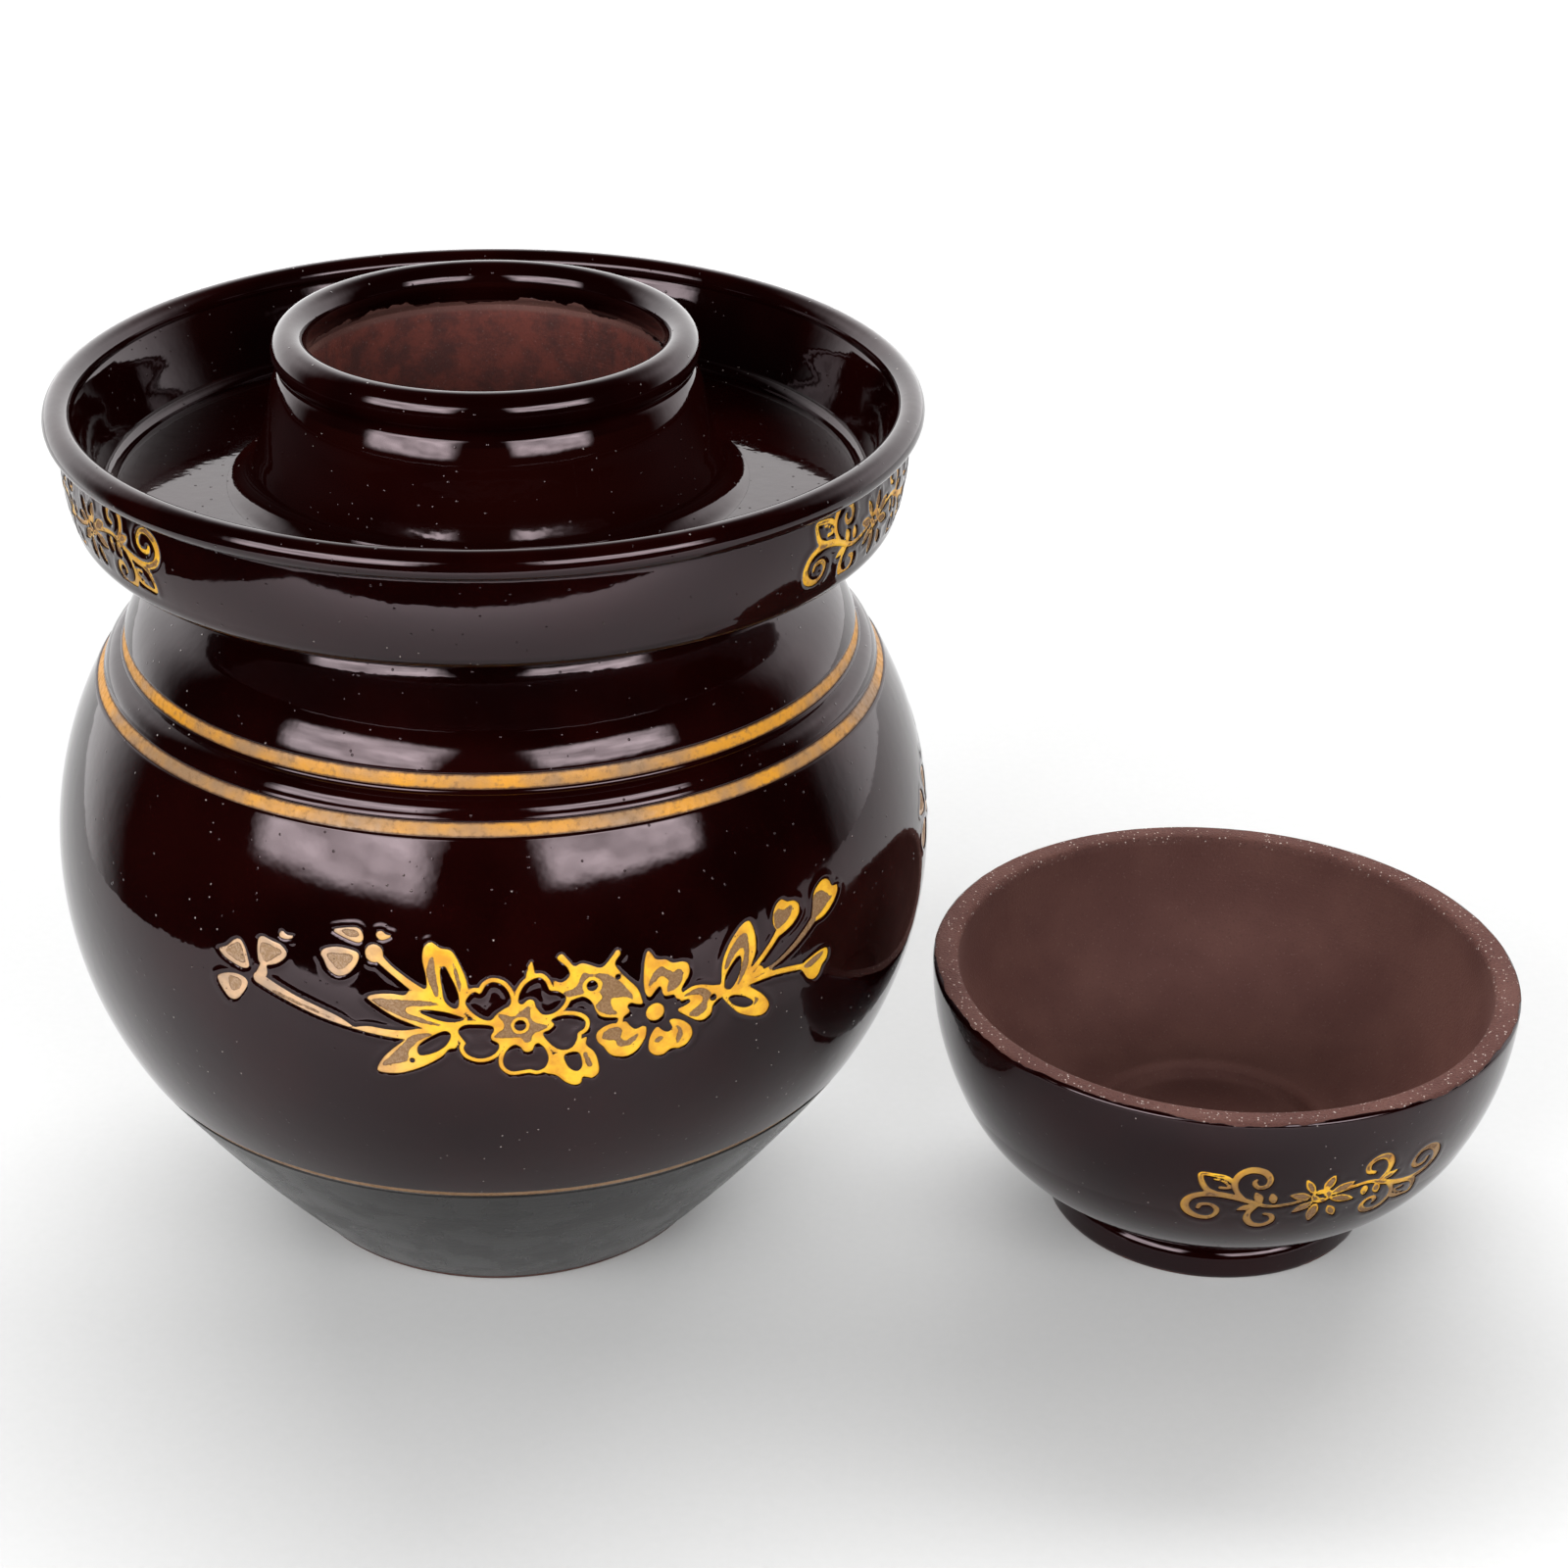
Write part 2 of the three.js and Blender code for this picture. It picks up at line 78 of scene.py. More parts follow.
LID_HEIGHT = 66.0
LID_RIM_OUTER = 71.7
LID_RIM_INNER = 65.2
LID_WAIST = (65.4, 36.0)
LID_INNER_WAIST = (57.9, 36.0)
LID_WELL_EDGE = (31.0, 18.9)
LID_WELL_HEIGHT = 14.4
LID_UNDERSIDE = 10.0

# ---- how finely meshes are made ----
COARSE_STEP = 1.5  # degrees between columns where a wall is plain
FINE_STEP = 0.42  # mm between rows and columns where a wall carries an ornament
BAND_STEP = 0.0087  # radians between columns of a band of slip
WALL_CREASE = 40  # degrees from which an edge is sharp
ORNAMENT_CREASE = 50

# ---- how slip lies in the glaze, in millimetres ----
PIT_DEPTH = 0.9  # the glaze is cut this deep under an ornament
SLIP_DEPTH = 0.22  # the slip's surface lies this far below the glaze
SLIP_CLEARANCE = 0.06  # between the slip and the bottom of its pit
FAR = 6.0  # distances to an outline are not measured beyond this


# ---- profiles ----
def arc(a, b, bulge, steps):
    """Points on a circular arc from a to b that bulges to the right of the direction of travel."""
    dx, dz = b[0] - a[0], b[1] - a[1]
    chord = math.hypot(dx, dz)
    half = 2 * math.atan2(2 * bulge, chord)
    radius = chord / (2 * math.sin(half))
    points = []
    for i in range(steps + 1):
        angle = half * (2 * i / steps - 1)
        along = 0.5 * chord + radius * math.sin(angle)
        out = radius * (math.cos(angle) - math.cos(half))
        r = a[0] + (along * dx + out * dz) / chord
        z = a[1] + (along * dz - out * dx) / chord
        points.append((r, z))
    return points


def oval(centre, half_width, half_height, start, end, steps):
    """Points on an ellipse between two angles in degrees, 0 pointing away from the axis."""
    turns = [math.radians(start + (end - start) * i / steps) for i in range(steps + 1)]
    r, z = centre
    return [(r + half_width * math.cos(a), z + half_height * math.sin(a)) for a in turns]


def on_wall(centre, tilt, along, out):
    """A place on a wall that leans outwards: along goes up the surface, out goes off it."""
    lean = math.radians(tilt)
    up = (math.sin(lean), math.cos(lean))
    return (centre[0] + along * up[0] + out * up[1], centre[1] + along * up[1] - out * up[0])


def smooth_curve(points, per_span, closed):
    """A Catmull-Rom curve; extra columns, such as a line's width, are smoothed with the points."""
    p = np.asarray(points, float)
    n = len(p)
    spans = n if closed else n - 1
    out = []
    for i in range(spans):
        if closed:
            a, b, c, d = p[(i - 1) % n], p[i], p[(i + 1) % n], p[(i + 2) % n]
        else:
            a, b, c, d = p[max(i - 1, 0)], p[i], p[i + 1], p[min(i + 2, n - 1)]
        for k in range(per_span):
            t = k / per_span
            square, cube = 2 * a - 5 * b + 4 * c - d, 3 * b - a - 3 * c + d
            out.append(0.5 * (2 * b + (c - a) * t + square * t**2 + cube * t**3))
    if not closed:
        out.append(p[-1])
    return np.array(out)


def bend(points, per_span):
    """An open smooth curve as profile points."""
    return [tuple(p) for p in smooth_curve(points, per_span, False)]


def groove_edge(centre, tilt, width, side):
    """The rounded glaze edge of a section at a groove, from its outer surface to its inner one."""
    rim = side * (width / 2 + 0.12)
    face = side * JOINT / 2
    rounding = [(0.9, 0.0), (0.6, 0.02), (0.35, -0.02), (0.15, -0.12), (0.04, -0.28), (0.0, -0.5)]
    places = [(rim + side * along, out) for along, out in rounding]
    places += [(rim, -GROOVE_DEPTH), (face, -GROOVE_DEPTH), (face, -WALL)]
    return [on_wall(centre, tilt, along, out) for along, out in places]


# ---- meshes ----
def link_mesh(name, vertices, faces, attributes, crease=WALL_CREASE):
    """A smooth-shaded mesh object from points in mm; each attribute has one value per point."""
    mesh = bpy.data.meshes.new(name)
    mesh.from_pydata((np.asarray(vertices, float) * MM).tolist(), [], faces)
    mesh.validate()
    for key, values in attributes.items():
        layer = mesh.attributes.new(key, "FLOAT", "POINT")
        layer.data.foreach_set("value", np.asarray(values, np.float32))
    mesh.polygons.foreach_set("use_smooth", np.ones(len(mesh.polygons), bool))
    mesh.set_sharp_from_angle(angle=math.radians(crease))
    return link(name, mesh)


def link(name, data):
    made = bpy.data.objects.new(name, data)
    bpy.context.scene.collection.objects.link(made)
    return made


def columns(fine_ranges=(), fine_step=1.0):
    """Azimuths in radians round a turned piece, close together inside the fine ranges."""
    turn = 2 * math.pi
    marks = list(np.radians(np.arange(0, 360, COARSE_STEP)))
    for low, high in fine_ranges:
        low_edge, high_edge = low - 0.01, high + 0.01
        marks = [a for a in marks
                 if not any(low_edge < a + shift < high_edge for shift in (-turn, 0, turn))]
    for low, high in fine_ranges:
        marks += list(np.linspace(low, high, int((high - low) / fine_step) + 1) % turn)
    return np.sort(np.array(marks))


def ring(r, z, angles, centre_x, start):
    """The vertices of one turn, or the single one on the axis, and their indices from start."""
    if r < 1e-6:
        return np.array([[centre_x, 0.0, z]]), [start] * len(angles)
    x, y = centre_x + r * np.sin(angles), -r * np.cos(angles)
    indices = list(range(start, start + len(angles)))
    return np.stack([x, y, np.full(len(angles), z)], -1), indices


def bridge(low, high):
    """The faces between two rings of indices; a ring on the axis gives triangles."""
    if low[0] == low[1] and high[0] == high[1]:
        return []
    faces = []
    for j in range(len(low)):
        k = (j + 1) % len(low)
        corners = [low[j], low[k], high[k], high[j]]
        faces.append([c for n, c in enumerate(corners) if c not in corners[:n]])
    return faces


def turned(name, profile, centre_x=0.0, angles=None, **masks):
    """A closed profile spun round its axis, with masks that give one value per profile point."""
    angles = columns() if angles is None else angles
    vertices, rings, owner = [], [], []
    for i, (r, z) in enumerate(profile):
        points, indices = ring(r, z, angles, centre_x, len(owner))
        vertices.append(points)
        rings.append(indices)
        owner += [i] * len(points)
    faces = []
    for low, high in zip(rings, rings[1:] + rings[:1]):
        faces += bridge(low, high)
    attributes = {key: np.asarray(values, float)[owner] for key, values in masks.items()}
    return link_mesh(name, np.concatenate(vertices), faces, attributes)


# ---- signed distances in the plane of an ornament, negative inside ----
def polygon_distance(u, v, outline):
    best = np.full(u.shape, FAR)
    low, high = outline.min(0) - FAR, outline.max(0) + FAR
    near = (u > low[0]) & (u < high[0]) & (v > low[1]) & (v < high[1])
    x, y = u[near], v[near]
    distance = np.full(x.shape, FAR)
    inside = np.zeros(x.shape, bool)
    for (ax, ay), (bx, by) in zip(outline, np.roll(outline, -1, axis=0)):
        ex, ey = bx - ax, by - ay
        length = ex * ex + ey * ey
        if length < 1e-12:
            continue
        t = np.clip(((x - ax) * ex + (y - ay) * ey) / length, 0, 1)
        distance = np.minimum(distance, np.hypot(x - ax - t * ex, y - ay - t * ey))
        if ay != by:
            inside ^= ((ay > y) != (by > y)) & (x < ax + (y - ay) * ex / (by - ay))
    best[near] = np.where(inside, -distance, distance)
    return best


def blob(u, v, points):
    return polygon_distance(u, v, smooth_curve(points, 5, True))


def stroke(u, v, points):
    """A line of changing width through (u, v, width) points."""
    line = smooth_curve(points, 6, False)
    best = np.full(u.shape, FAR)
    for (ax, ay, aw), (bx, by, bw) in zip(line[:-1], line[1:]):
        ex, ey = bx - ax, by - ay
        t = np.clip(((u - ax) * ex + (v - ay) * ey) / (ex * ex + ey * ey), 0, 1)
        distance = np.hypot(u - ax - t * ex, v - ay - t * ey)
        best = np.minimum(best, distance - (aw + (bw - aw) * t) / 2)
    return best


def leaf(u, v, root, tip, width):
    """A pointed oval between two points."""
    du, dv = tip[0] - root[0], tip[1] - root[1]
    length = math.hypot(du, dv)
    half = [(0.0, 0.12), (0.15, 0.62), (0.4, 1.0), (0.65, 0.9), (0.88, 0.45), (1.0, 0.0)]

    def edge(t, w):
        return (root[0] + du * t - w * width / 2 * dv / length,
                root[1] + dv * t + w * width / 2 * du / length)

    outline = [edge(t, w) for t, w in half] + [edge(t, -w) for t, w in half[-2::-1]]
    return polygon_distance(u, v, smooth_curve(outline, 4, True))


def spot(u, v, centre, radius):
    return np.hypot(u - centre[0], v - centre[1]) - radius


def union(*fields):
    return np.minimum.reduce(fields)


# ---- the belly spray, in mm: u runs right and v up; closed outlines, and (u, v, width) lines ----
LEFT_BLOSSOM_CELLS = [
    [(-3.6, 27.2), (-2.4, 29.1), (-0.8, 29.8), (1.2, 29), (2.6, 26.8), (2.6, 24.6), (1, 23.5),
     (-0.4, 22.4), (-1.5, 21.1), (-3.2, 21.3), (-5.4, 22.9), (-6.8, 25), (-6, 26.8), (-4.8, 27.6)],
    [(9, 30.4), (10.4, 29.2), (11.2, 27.3), (13, 26.9), (14.6, 25.5), (13.9, 23.6), (11.8, 22),
     (9.6, 21.9), (8.3, 23.6), (7.8, 25.2), (6.6, 25.6), (5.2, 24.6), (4.5, 25.2), (4.9, 27.2),
     (6.4, 29.4)],
    [(11.4, 20.2), (12.6, 20.9), (14.8, 21.1), (17.2, 20.5), (18.6, 19.2), (18.4, 17.6),
     (17, 16.6), (16.7, 14.9), (15.8, 13.3), (14.2, 12.7), (12.4, 13.3), (10.6, 15.2), (9.6, 17.2),
     (11, 17.9), (12.1, 19.2)],
    [(3.4, 14.7), (4.6, 14.1), (5.2, 13.1), (6.2, 12.7), (7.3, 13.2), (7.8, 14.5), (8.7, 14.7),
     (9.9, 13.2), (10.5, 10.9), (9.9, 8.8), (8.2, 7.9), (6.6, 8.4), (4.8, 8.2), (2.6, 8.1),
     (1.1, 9.6), (1.1, 11.9), (2.1, 13.8)],
    [(-7.3, 19.7), (-4.6, 19.9), (-1.6, 19.6), (-1, 18.6), (-1.7, 17.2), (-1.4, 16.1),
     (-0.2, 15.3), (-0.1, 13.9), (-1.7, 12.2), (-4.2, 11.6), (-6.6, 12.6), (-7.4, 14.3),
     (-6.9, 15.4), (-7.8, 16.8), (-8.5, 18.4)],
]
LEFT_BLOSSOM_EYE = (4.7, 19.5)
LEFT_STAR = [
    (0, 22.5), (3.2, 21.6), (4.4, 22.4), (6.7, 24), (6.9, 21.2), (8.3, 19.8), (10.7, 18.8),
    (7.6, 17.4), (6.8, 15.6), (5.8, 15.1), (4.6, 16.6), (1.6, 16.6), (-0.8, 17), (1.2, 18.9),
    (1, 20.6),
]
LOWER_LOBE = [
    (7.5, 9), (10, 6.9), (12.2, 6.1), (14.2, 4), (16.2, 2.9), (17.7, 3.2), (18.1, 4.8),
    (18.9, 4.7), (20.3, 4.3), (21.7, 5.6), (21.6, 8.2), (20.7, 11.2), (18.9, 13.4), (19, 15.4),
    (16.5, 14.4), (12, 12),
]
LOWER_LOBE_CELL = [
    (14.1, 11.1), (15.6, 11.8), (17.2, 11.4), (17.8, 9.4), (17.8, 7.8), (16.8, 6.8), (15.2, 7.8),
    (14.4, 9.4),
]
HALF_BLOSSOM = [
    (12.6, 27.4), (12, 29.6), (13.9, 29), (15.6, 30.4), (15, 32.4), (13, 34.4), (14.2, 35.4),
    (15.8, 33.6), (16.8, 32.4), (18.4, 32.9), (20.2, 32.3), (22.2, 31.4), (23.4, 31.7),
    (25.2, 33.6), (26.5, 34.9), (27.3, 33.8), (25.9, 31.9), (26.8, 29.9), (28.6, 27.6),
    (30.6, 25.2), (31.5, 22.6), (31.6, 21.2), (30.2, 21.4), (29, 21.9), (28.2, 21.3), (28.7, 19.9),
    (27.3, 18.8), (27, 17), (25.6, 17.4), (25.9, 18.8), (24, 19.2), (22.2, 19.8), (21.2, 21),
    (20.2, 23.6), (18.6, 25), (17.2, 24.9), (15, 24.6),
]
HALF_BLOSSOM_SCRAPE = [
    (14, 26.5), (17, 27.6), (18.6, 30.5), (20.2, 30.1), (24, 29.5), (27.6, 26.4), (29.5, 22.9),
    (27.2, 23.9), (24.6, 23.6), (24.8, 21.4), (25.8, 19.9), (23, 20.5), (21.1, 22.4), (22.6, 24.2),
    (21.6, 26), (18.2, 25.8), (15.4, 25.4),
]
RIGHT_BLOSSOM = [
    [(33.3, 22.4), (32.1, 24), (32, 27.5), (32.4, 31), (33.3, 33.4), (34.4, 32.4), (35.2, 31.1),
     (37.4, 30.6), (39, 29.5), (41.6, 29.2), (42.9, 28), (42.8, 25.8), (41.5, 23.9), (40.8, 22.6),
     (41.4, 21.4), (40.8, 20.3), (39.4, 20.8), (38.9, 21.8), (37, 21.9), (36.2, 22.8),
     (35.8, 24.5), (34.8, 23.9)],
    [(40.6, 21.6), (43, 22.8), (45.6, 22.7), (48.2, 21.8), (50.6, 21.2), (52.4, 19.6),
     (51.8, 17.8), (50, 17.9), (48.4, 16.8), (47.9, 14.9), (46, 13.7), (44, 14.2), (41.6, 16),
     (39.5, 18), (41.2, 18.6), (42.6, 19.2), (42.2, 19.9), (40.4, 19.9)],
    [(37.6, 15.7), (38.6, 16.1), (41, 15), (42.8, 13.1), (43.3, 10.8), (42.1, 8.7), (40.2, 8),
     (38.2, 8.3), (36.3, 7.2), (34.3, 7.6), (32.9, 9.2), (32.8, 11.5), (33.6, 13.8), (34.8, 15),
     (36, 13.9), (37.3, 13.1), (38.3, 13.9)],
    [(28.6, 16.6), (27.7, 17.8), (26.2, 17.6), (24.4, 17.8), (22.3, 17.1), (21, 15.7),
     (21.3, 13.7), (22.7, 12), (24.1, 9.9), (26.2, 8.9), (28.4, 8.8), (30.5, 10.1), (32.1, 12.6),
     (32.4, 15.2), (31.5, 15.9), (29.8, 15.5)],
]
RIGHT_BLOSSOM_SCRAPES = [
    [(33.1, 25.2), (34.3, 27.9), (36.2, 29.1), (37.6, 28.1), (39, 27.3), (40.4, 27.6),
     (41.2, 26.4), (40.8, 24.8), (39.6, 23.4), (37.6, 22.8), (37.4, 24), (37.8, 25.4),
     (36.8, 26.7), (35.6, 26.8), (34.4, 25.8)],
    [(41.4, 21), (44, 21.9), (46.2, 21.5), (47.8, 19.8), (47, 18.4), (46.6, 16.4), (44.5, 15.1),
     (42.4, 16.2), (44.2, 17.4), (45.7, 18.5), (45.6, 20), (43.4, 20.8)],
    [(39.2, 14.1), (40.5, 13.2), (40.8, 11), (39.6, 9.6), (39.4, 11.4), (39.9, 12.6)],
    [(22.4, 14.5), (23.2, 16.2), (25.6, 16.6), (26.8, 15.6), (26.4, 13.9), (27.8, 12.9),
     (29.5, 13.8), (30.5, 14), (29.5, 12.3), (28, 11.5), (26, 11.8), (25.2, 13.5), (23.8, 13.7)],
    [(34.2, 11.3), (35.2, 12.2), (36.2, 11.8), (35.2, 10.9)],
]
RIGHT_BLOSSOM_EYE = (34.4, 18.7)
LEFT_LEAVES = [
    [(-6, 25.5), (-6.4, 29.8), (-7.6, 33.2), (-9.6, 36.8), (-12.2, 37.5), (-14.2, 38.7),
     (-15.8, 37.6), (-16.2, 34.8), (-15.4, 31), (-15.3, 28.4), (-16.6, 27.4), (-14, 25),
     (-10, 22.5), (-7, 22.5)],
    [(-28.3, 24.9), (-26.4, 26), (-23, 26.5), (-20, 26.4), (-18.8, 27.6), (-15, 27.8), (-11, 25),
     (-7, 22.4), (-6.6, 20.6), (-9, 17.8), (-13, 18), (-16.6, 18.8), (-18.8, 19.6), (-22.4, 21),
     (-25.8, 23)],
    [(-26.5, 6.9), (-26.2, 8.6), (-24.8, 11), (-22.4, 13.6), (-20.2, 15.6), (-19, 17.4),
     (-16, 18.8), (-11, 18.8), (-8.6, 17), (-9, 14.2), (-10.6, 13.7), (-12.2, 11.8), (-16, 9.2),
     (-20.8, 7), (-24.4, 6.5)],
]
LEFT_LEAF_SLITS = [
    [(-12.2, 32.4), (-11.3, 33.3), (-10.3, 31.6), (-8.9, 28.6), (-8.3, 26), (-8.6, 24), (-9.8, 24),
     (-11.3, 25.6), (-11.8, 28.6)],
    [(-16.9, 22.8), (-14.6, 23.1), (-11.4, 22.8), (-8.6, 22), (-7.3, 21.3), (-9.2, 20.6),
     (-11.8, 20.7), (-14.6, 21.6)],
    [(-10.2, 17.2), (-11.4, 18.2), (-14, 17), (-16.8, 14.8), (-17.4, 13.1), (-16.6, 12),
     (-13.6, 13), (-11.3, 14.8)],
]
LEFT_LEAF_SCRAPES = [
    [(-15.1, 31.6), (-14.6, 34.8), (-13.7, 35.2), (-13.4, 32.6), (-12.6, 27.2), (-13.4, 26.6),
     (-14.2, 28.6)],
    [(-9.6, 34), (-9, 33.4), (-7.9, 29.8), (-8, 27.6), (-8.7, 30)],
    [(-27, 24.8), (-20, 25.1), (-15, 25.2), (-12.6, 24.6), (-15.6, 24.1), (-19.2, 23.8),
     (-19.6, 22.2), (-16, 21), (-12, 19.6), (-16, 20), (-20.6, 21.2), (-24.4, 22.9)],
    [(-25.2, 8.8), (-21.6, 13.2), (-18.4, 16.8), (-14.2, 17.4), (-17.2, 15.6), (-19.4, 12.8),
     (-19.8, 10.4), (-22.4, 9.4)],
]
RIGHT_LEAVES = [
    [(50.2, 19), (50.5, 22.4), (50.9, 26), (52, 28.6), (54, 31.3), (56.6, 33.5), (58.7, 34.1),
     (59.7, 32.8), (60.3, 29.8), (60, 26.2), (58.6, 23.4), (58.6, 21), (56, 18.8), (52.5, 18)],
    [(50.4, 19.6), (53.2, 19.6), (56.6, 19.2), (59.8, 16.9), (62.2, 14.4), (63.4, 12.1),
     (62.9, 10.4), (61.2, 9.8), (58.4, 10.6), (55, 12.6), (52.8, 15), (51, 17.4)],
]
RIGHT_LEAF_SLITS = [
    [(51.4, 20.8), (52, 23.4), (54.4, 26.1), (55.8, 26.5), (55.7, 24), (54.6, 21.4), (53, 19.6),
     (51.8, 19.8)],
    [(52.4, 17.4), (54, 17.5), (56.6, 16.3), (58.7, 14.4), (58.2, 13.6), (56.4, 13.7), (54, 15),
     (52.8, 16.3)],
]
RIGHT_LEAF_SCRAPES = [
    [(51.6, 24.8), (52.8, 28), (55.6, 30.9), (57.5, 31.4), (58.2, 29.4), (57.7, 24.6),
     (56.6, 22.2), (54.8, 20), (55.6, 22.8), (56.9, 27.2), (56, 28.3), (54.2, 27.2), (52.6, 25.2)],
    [(59.2, 15.4), (60.2, 14.3), (59, 13.4), (59.4, 14.4)],
]
BUDS = [
    [(65.7, 27.6), (66.2, 29), (65.3, 31), (65.6, 33.4), (66.8, 35.2), (68.6, 35.9), (70.2, 34.9),
     (72.1, 34.5), (73.5, 33.2), (73.4, 31.2), (71.6, 29.5), (69, 28.3)],
    [(76.6, 27.4), (77.4, 30.6), (78.4, 33.8), (80.4, 35.3), (82.4, 35.8), (84.2, 34.9),
     (84.9, 33.3), (86.8, 32.7), (86.3, 30.9), (84, 28.8), (81.2, 27.4), (78.6, 27.1)],
    [(72.2, 18), (75, 19.1), (79, 19.8), (81.5, 19.2), (81.5, 17), (79.7, 15.5), (78.6, 13.7),
     (76.9, 13), (74.8, 14.2), (73.3, 16.4)],
]
BUD_SCRAPES = [
    [(66.2, 29.8), (65.8, 31.6), (66.1, 33.4), (67.4, 33.9), (69.2, 33.2), (70.9, 33.7),
     (71.4, 32.8), (70, 31), (67.6, 29.8)],
    [(77.2, 27.8), (77.6, 31), (78.6, 33.3), (81, 33.5), (82.6, 32.4), (83.6, 31.2), (84.6, 31),
     (82, 29.6), (79.4, 28.4)],
    [(73.8, 17.9), (77, 18.8), (80, 19), (79.4, 18), (76.6, 16.9), (74.6, 16.9)],
]
BUD_STEMS = [
    [(56.5, 20.6, 1.6), (60, 23.2, 1.5), (64, 26.4, 1.5), (66.4, 28.6, 1.8)],
    [(58, 20.8, 1.8), (64, 21.2, 1.1), (71, 24, 1.5), (77, 27.6, 1.9)],
    [(54, 19.2, 1.8), (60, 19.6, 1.5), (66, 19.3, 1.5), (73, 17.9, 1.5)],
]
PALE_STEMS = [
    [(-17, 17.2, 3), (-20, 16.8, 2.4), (-24, 16.9, 2), (-28, 17.3, 1.8), (-31.2, 17.2, 0.6)],
    [(-31.2, 17.2, 0.5), (-35, 18.6, 1.9), (-40, 20, 2.4), (-45, 21.5, 2.4), (-50, 23.2, 2.6),
     (-54, 24.7, 2.8)],
    [(-54, 24.6, 2.4), (-53, 26.4, 2.6), (-52.8, 28, 1.8), (-52.4, 29.6, 2.2)],
    [(-16.6, 27.2, 2.4), (-19.6, 29.4, 1.8), (-23.6, 32.4, 1.7), (-26.4, 35, 2.2)],
]
HEART_BUD = [
    (-54.5, 33.6), (-53.2, 34.6), (-51, 34.1), (-48.8, 33.7), (-47.2, 32.4), (-47.3, 31),
    (-49.2, 29.2), (-51.6, 28.2), (-53.8, 28.2), (-54.5, 30.2),
]
PALE_SCRAPES = [
    [(-53.6, 30.6), (-53.4, 33), (-50.6, 32.8), (-48.4, 32), (-49.8, 30.6), (-52.2, 29)],
    [(-50, 22.6), (-44, 21.2), (-36, 18.7), (-44, 20.6), (-50, 22.2)],
    [(-62.8, 28.8), (-60.6, 31), (-59.2, 31.4), (-58, 29.4), (-57.6, 27.4), (-60, 27.4)],
    [(-61.6, 23), (-58.4, 22.8), (-59.2, 20.6), (-61.2, 20)],
    [(-37.4, 33.6), (-34, 34.2), (-31.6, 34), (-32.6, 32), (-34.4, 30.6), (-36.2, 31.8)],
    [(-34.4, 39.4), (-31.4, 39.8), (-30.4, 38.8), (-32.4, 38.3)],
]
PETALS = [
    [[(-64.7, 28.8), (-62.6, 30), (-60.6, 32), (-59, 32.4), (-57.6, 30.8), (-56.7, 28.4),
      (-56.4, 26.7), (-57.8, 25.9), (-60.2, 26.2), (-62.8, 27), (-64.2, 27.9)]],
    [[(-64.9, 22.2), (-62.5, 23.6), (-59.6, 24.2), (-57.2, 23.7), (-56.7, 22.4), (-57.9, 20),
      (-59.6, 18), (-61.6, 17.5), (-63.4, 19), (-64.8, 20.9)]],
    [[(-39.1, 33.6), (-38, 34.9), (-35, 35.7), (-31.2, 35.3), (-30.1, 34.2), (-30.8, 32),
      (-32.6, 29.8), (-35, 29), (-37.2, 30.2), (-38.3, 32.2)]],
    [[(-36.7, 39.2), (-34.4, 40), (-31, 40.5), (-29.6, 39.6), (-29.3, 38), (-30.4, 37.1),
      (-33, 37.6), (-35.6, 38.5)],
     [(-26.4, 40), (-25.2, 40.4), (-24.2, 39.7), (-22.8, 39.5), (-24, 38.6), (-25.4, 38.2),
      (-26.5, 39)],
     [(-49.4, 35.6), (-48.6, 36.9), (-47.2, 36.2), (-45.4, 36.3), (-46.4, 35.3), (-48.2, 35)]],
]
BRANCH_TIP = [(7.2, 31.0, 2.2), (7.5, 34.0, 0.6)]
LEAF_JOINT = [(-17.0, 26.0, 4.0), (-12.0, 26.5, 4.0)]
LOBE_SCRATCH = [(18.6, 11.0, 0.8), (19.6, 8.0, 1.0)]
HALF_BLOSSOM_EYE = (20.5, 27.4)
BERRIES = [((-26.8, 35.2), 2.1), ((7.3, 33.0), 0.7), ((60.6, 21.4), 1.3), ((63.2, 20.4), 1.2)]
PINHOLES = [((26.3, 28.6), 0.6), ((48.4, 18.7), 0.75), ((-18.7, 10.5), 0.55)]
SPRAY_ORIGIN = (5.0, 19.5)  # the left blossom's centre, where the spray's seat is
SPRAY_REACH = (-73, 85, -20, 24)  # its box about that centre: left, right, bottom, top
RIM_WIDTH = 1.15  # slip round each glazed cell
SHADE_START, SHADE_END = -14.0, -36.0  # the slip pales from gold to buff between these
NAMES_IN_SPRAY = ["main", "petal_1", "petal_2", "petal_3", "petal_4"]


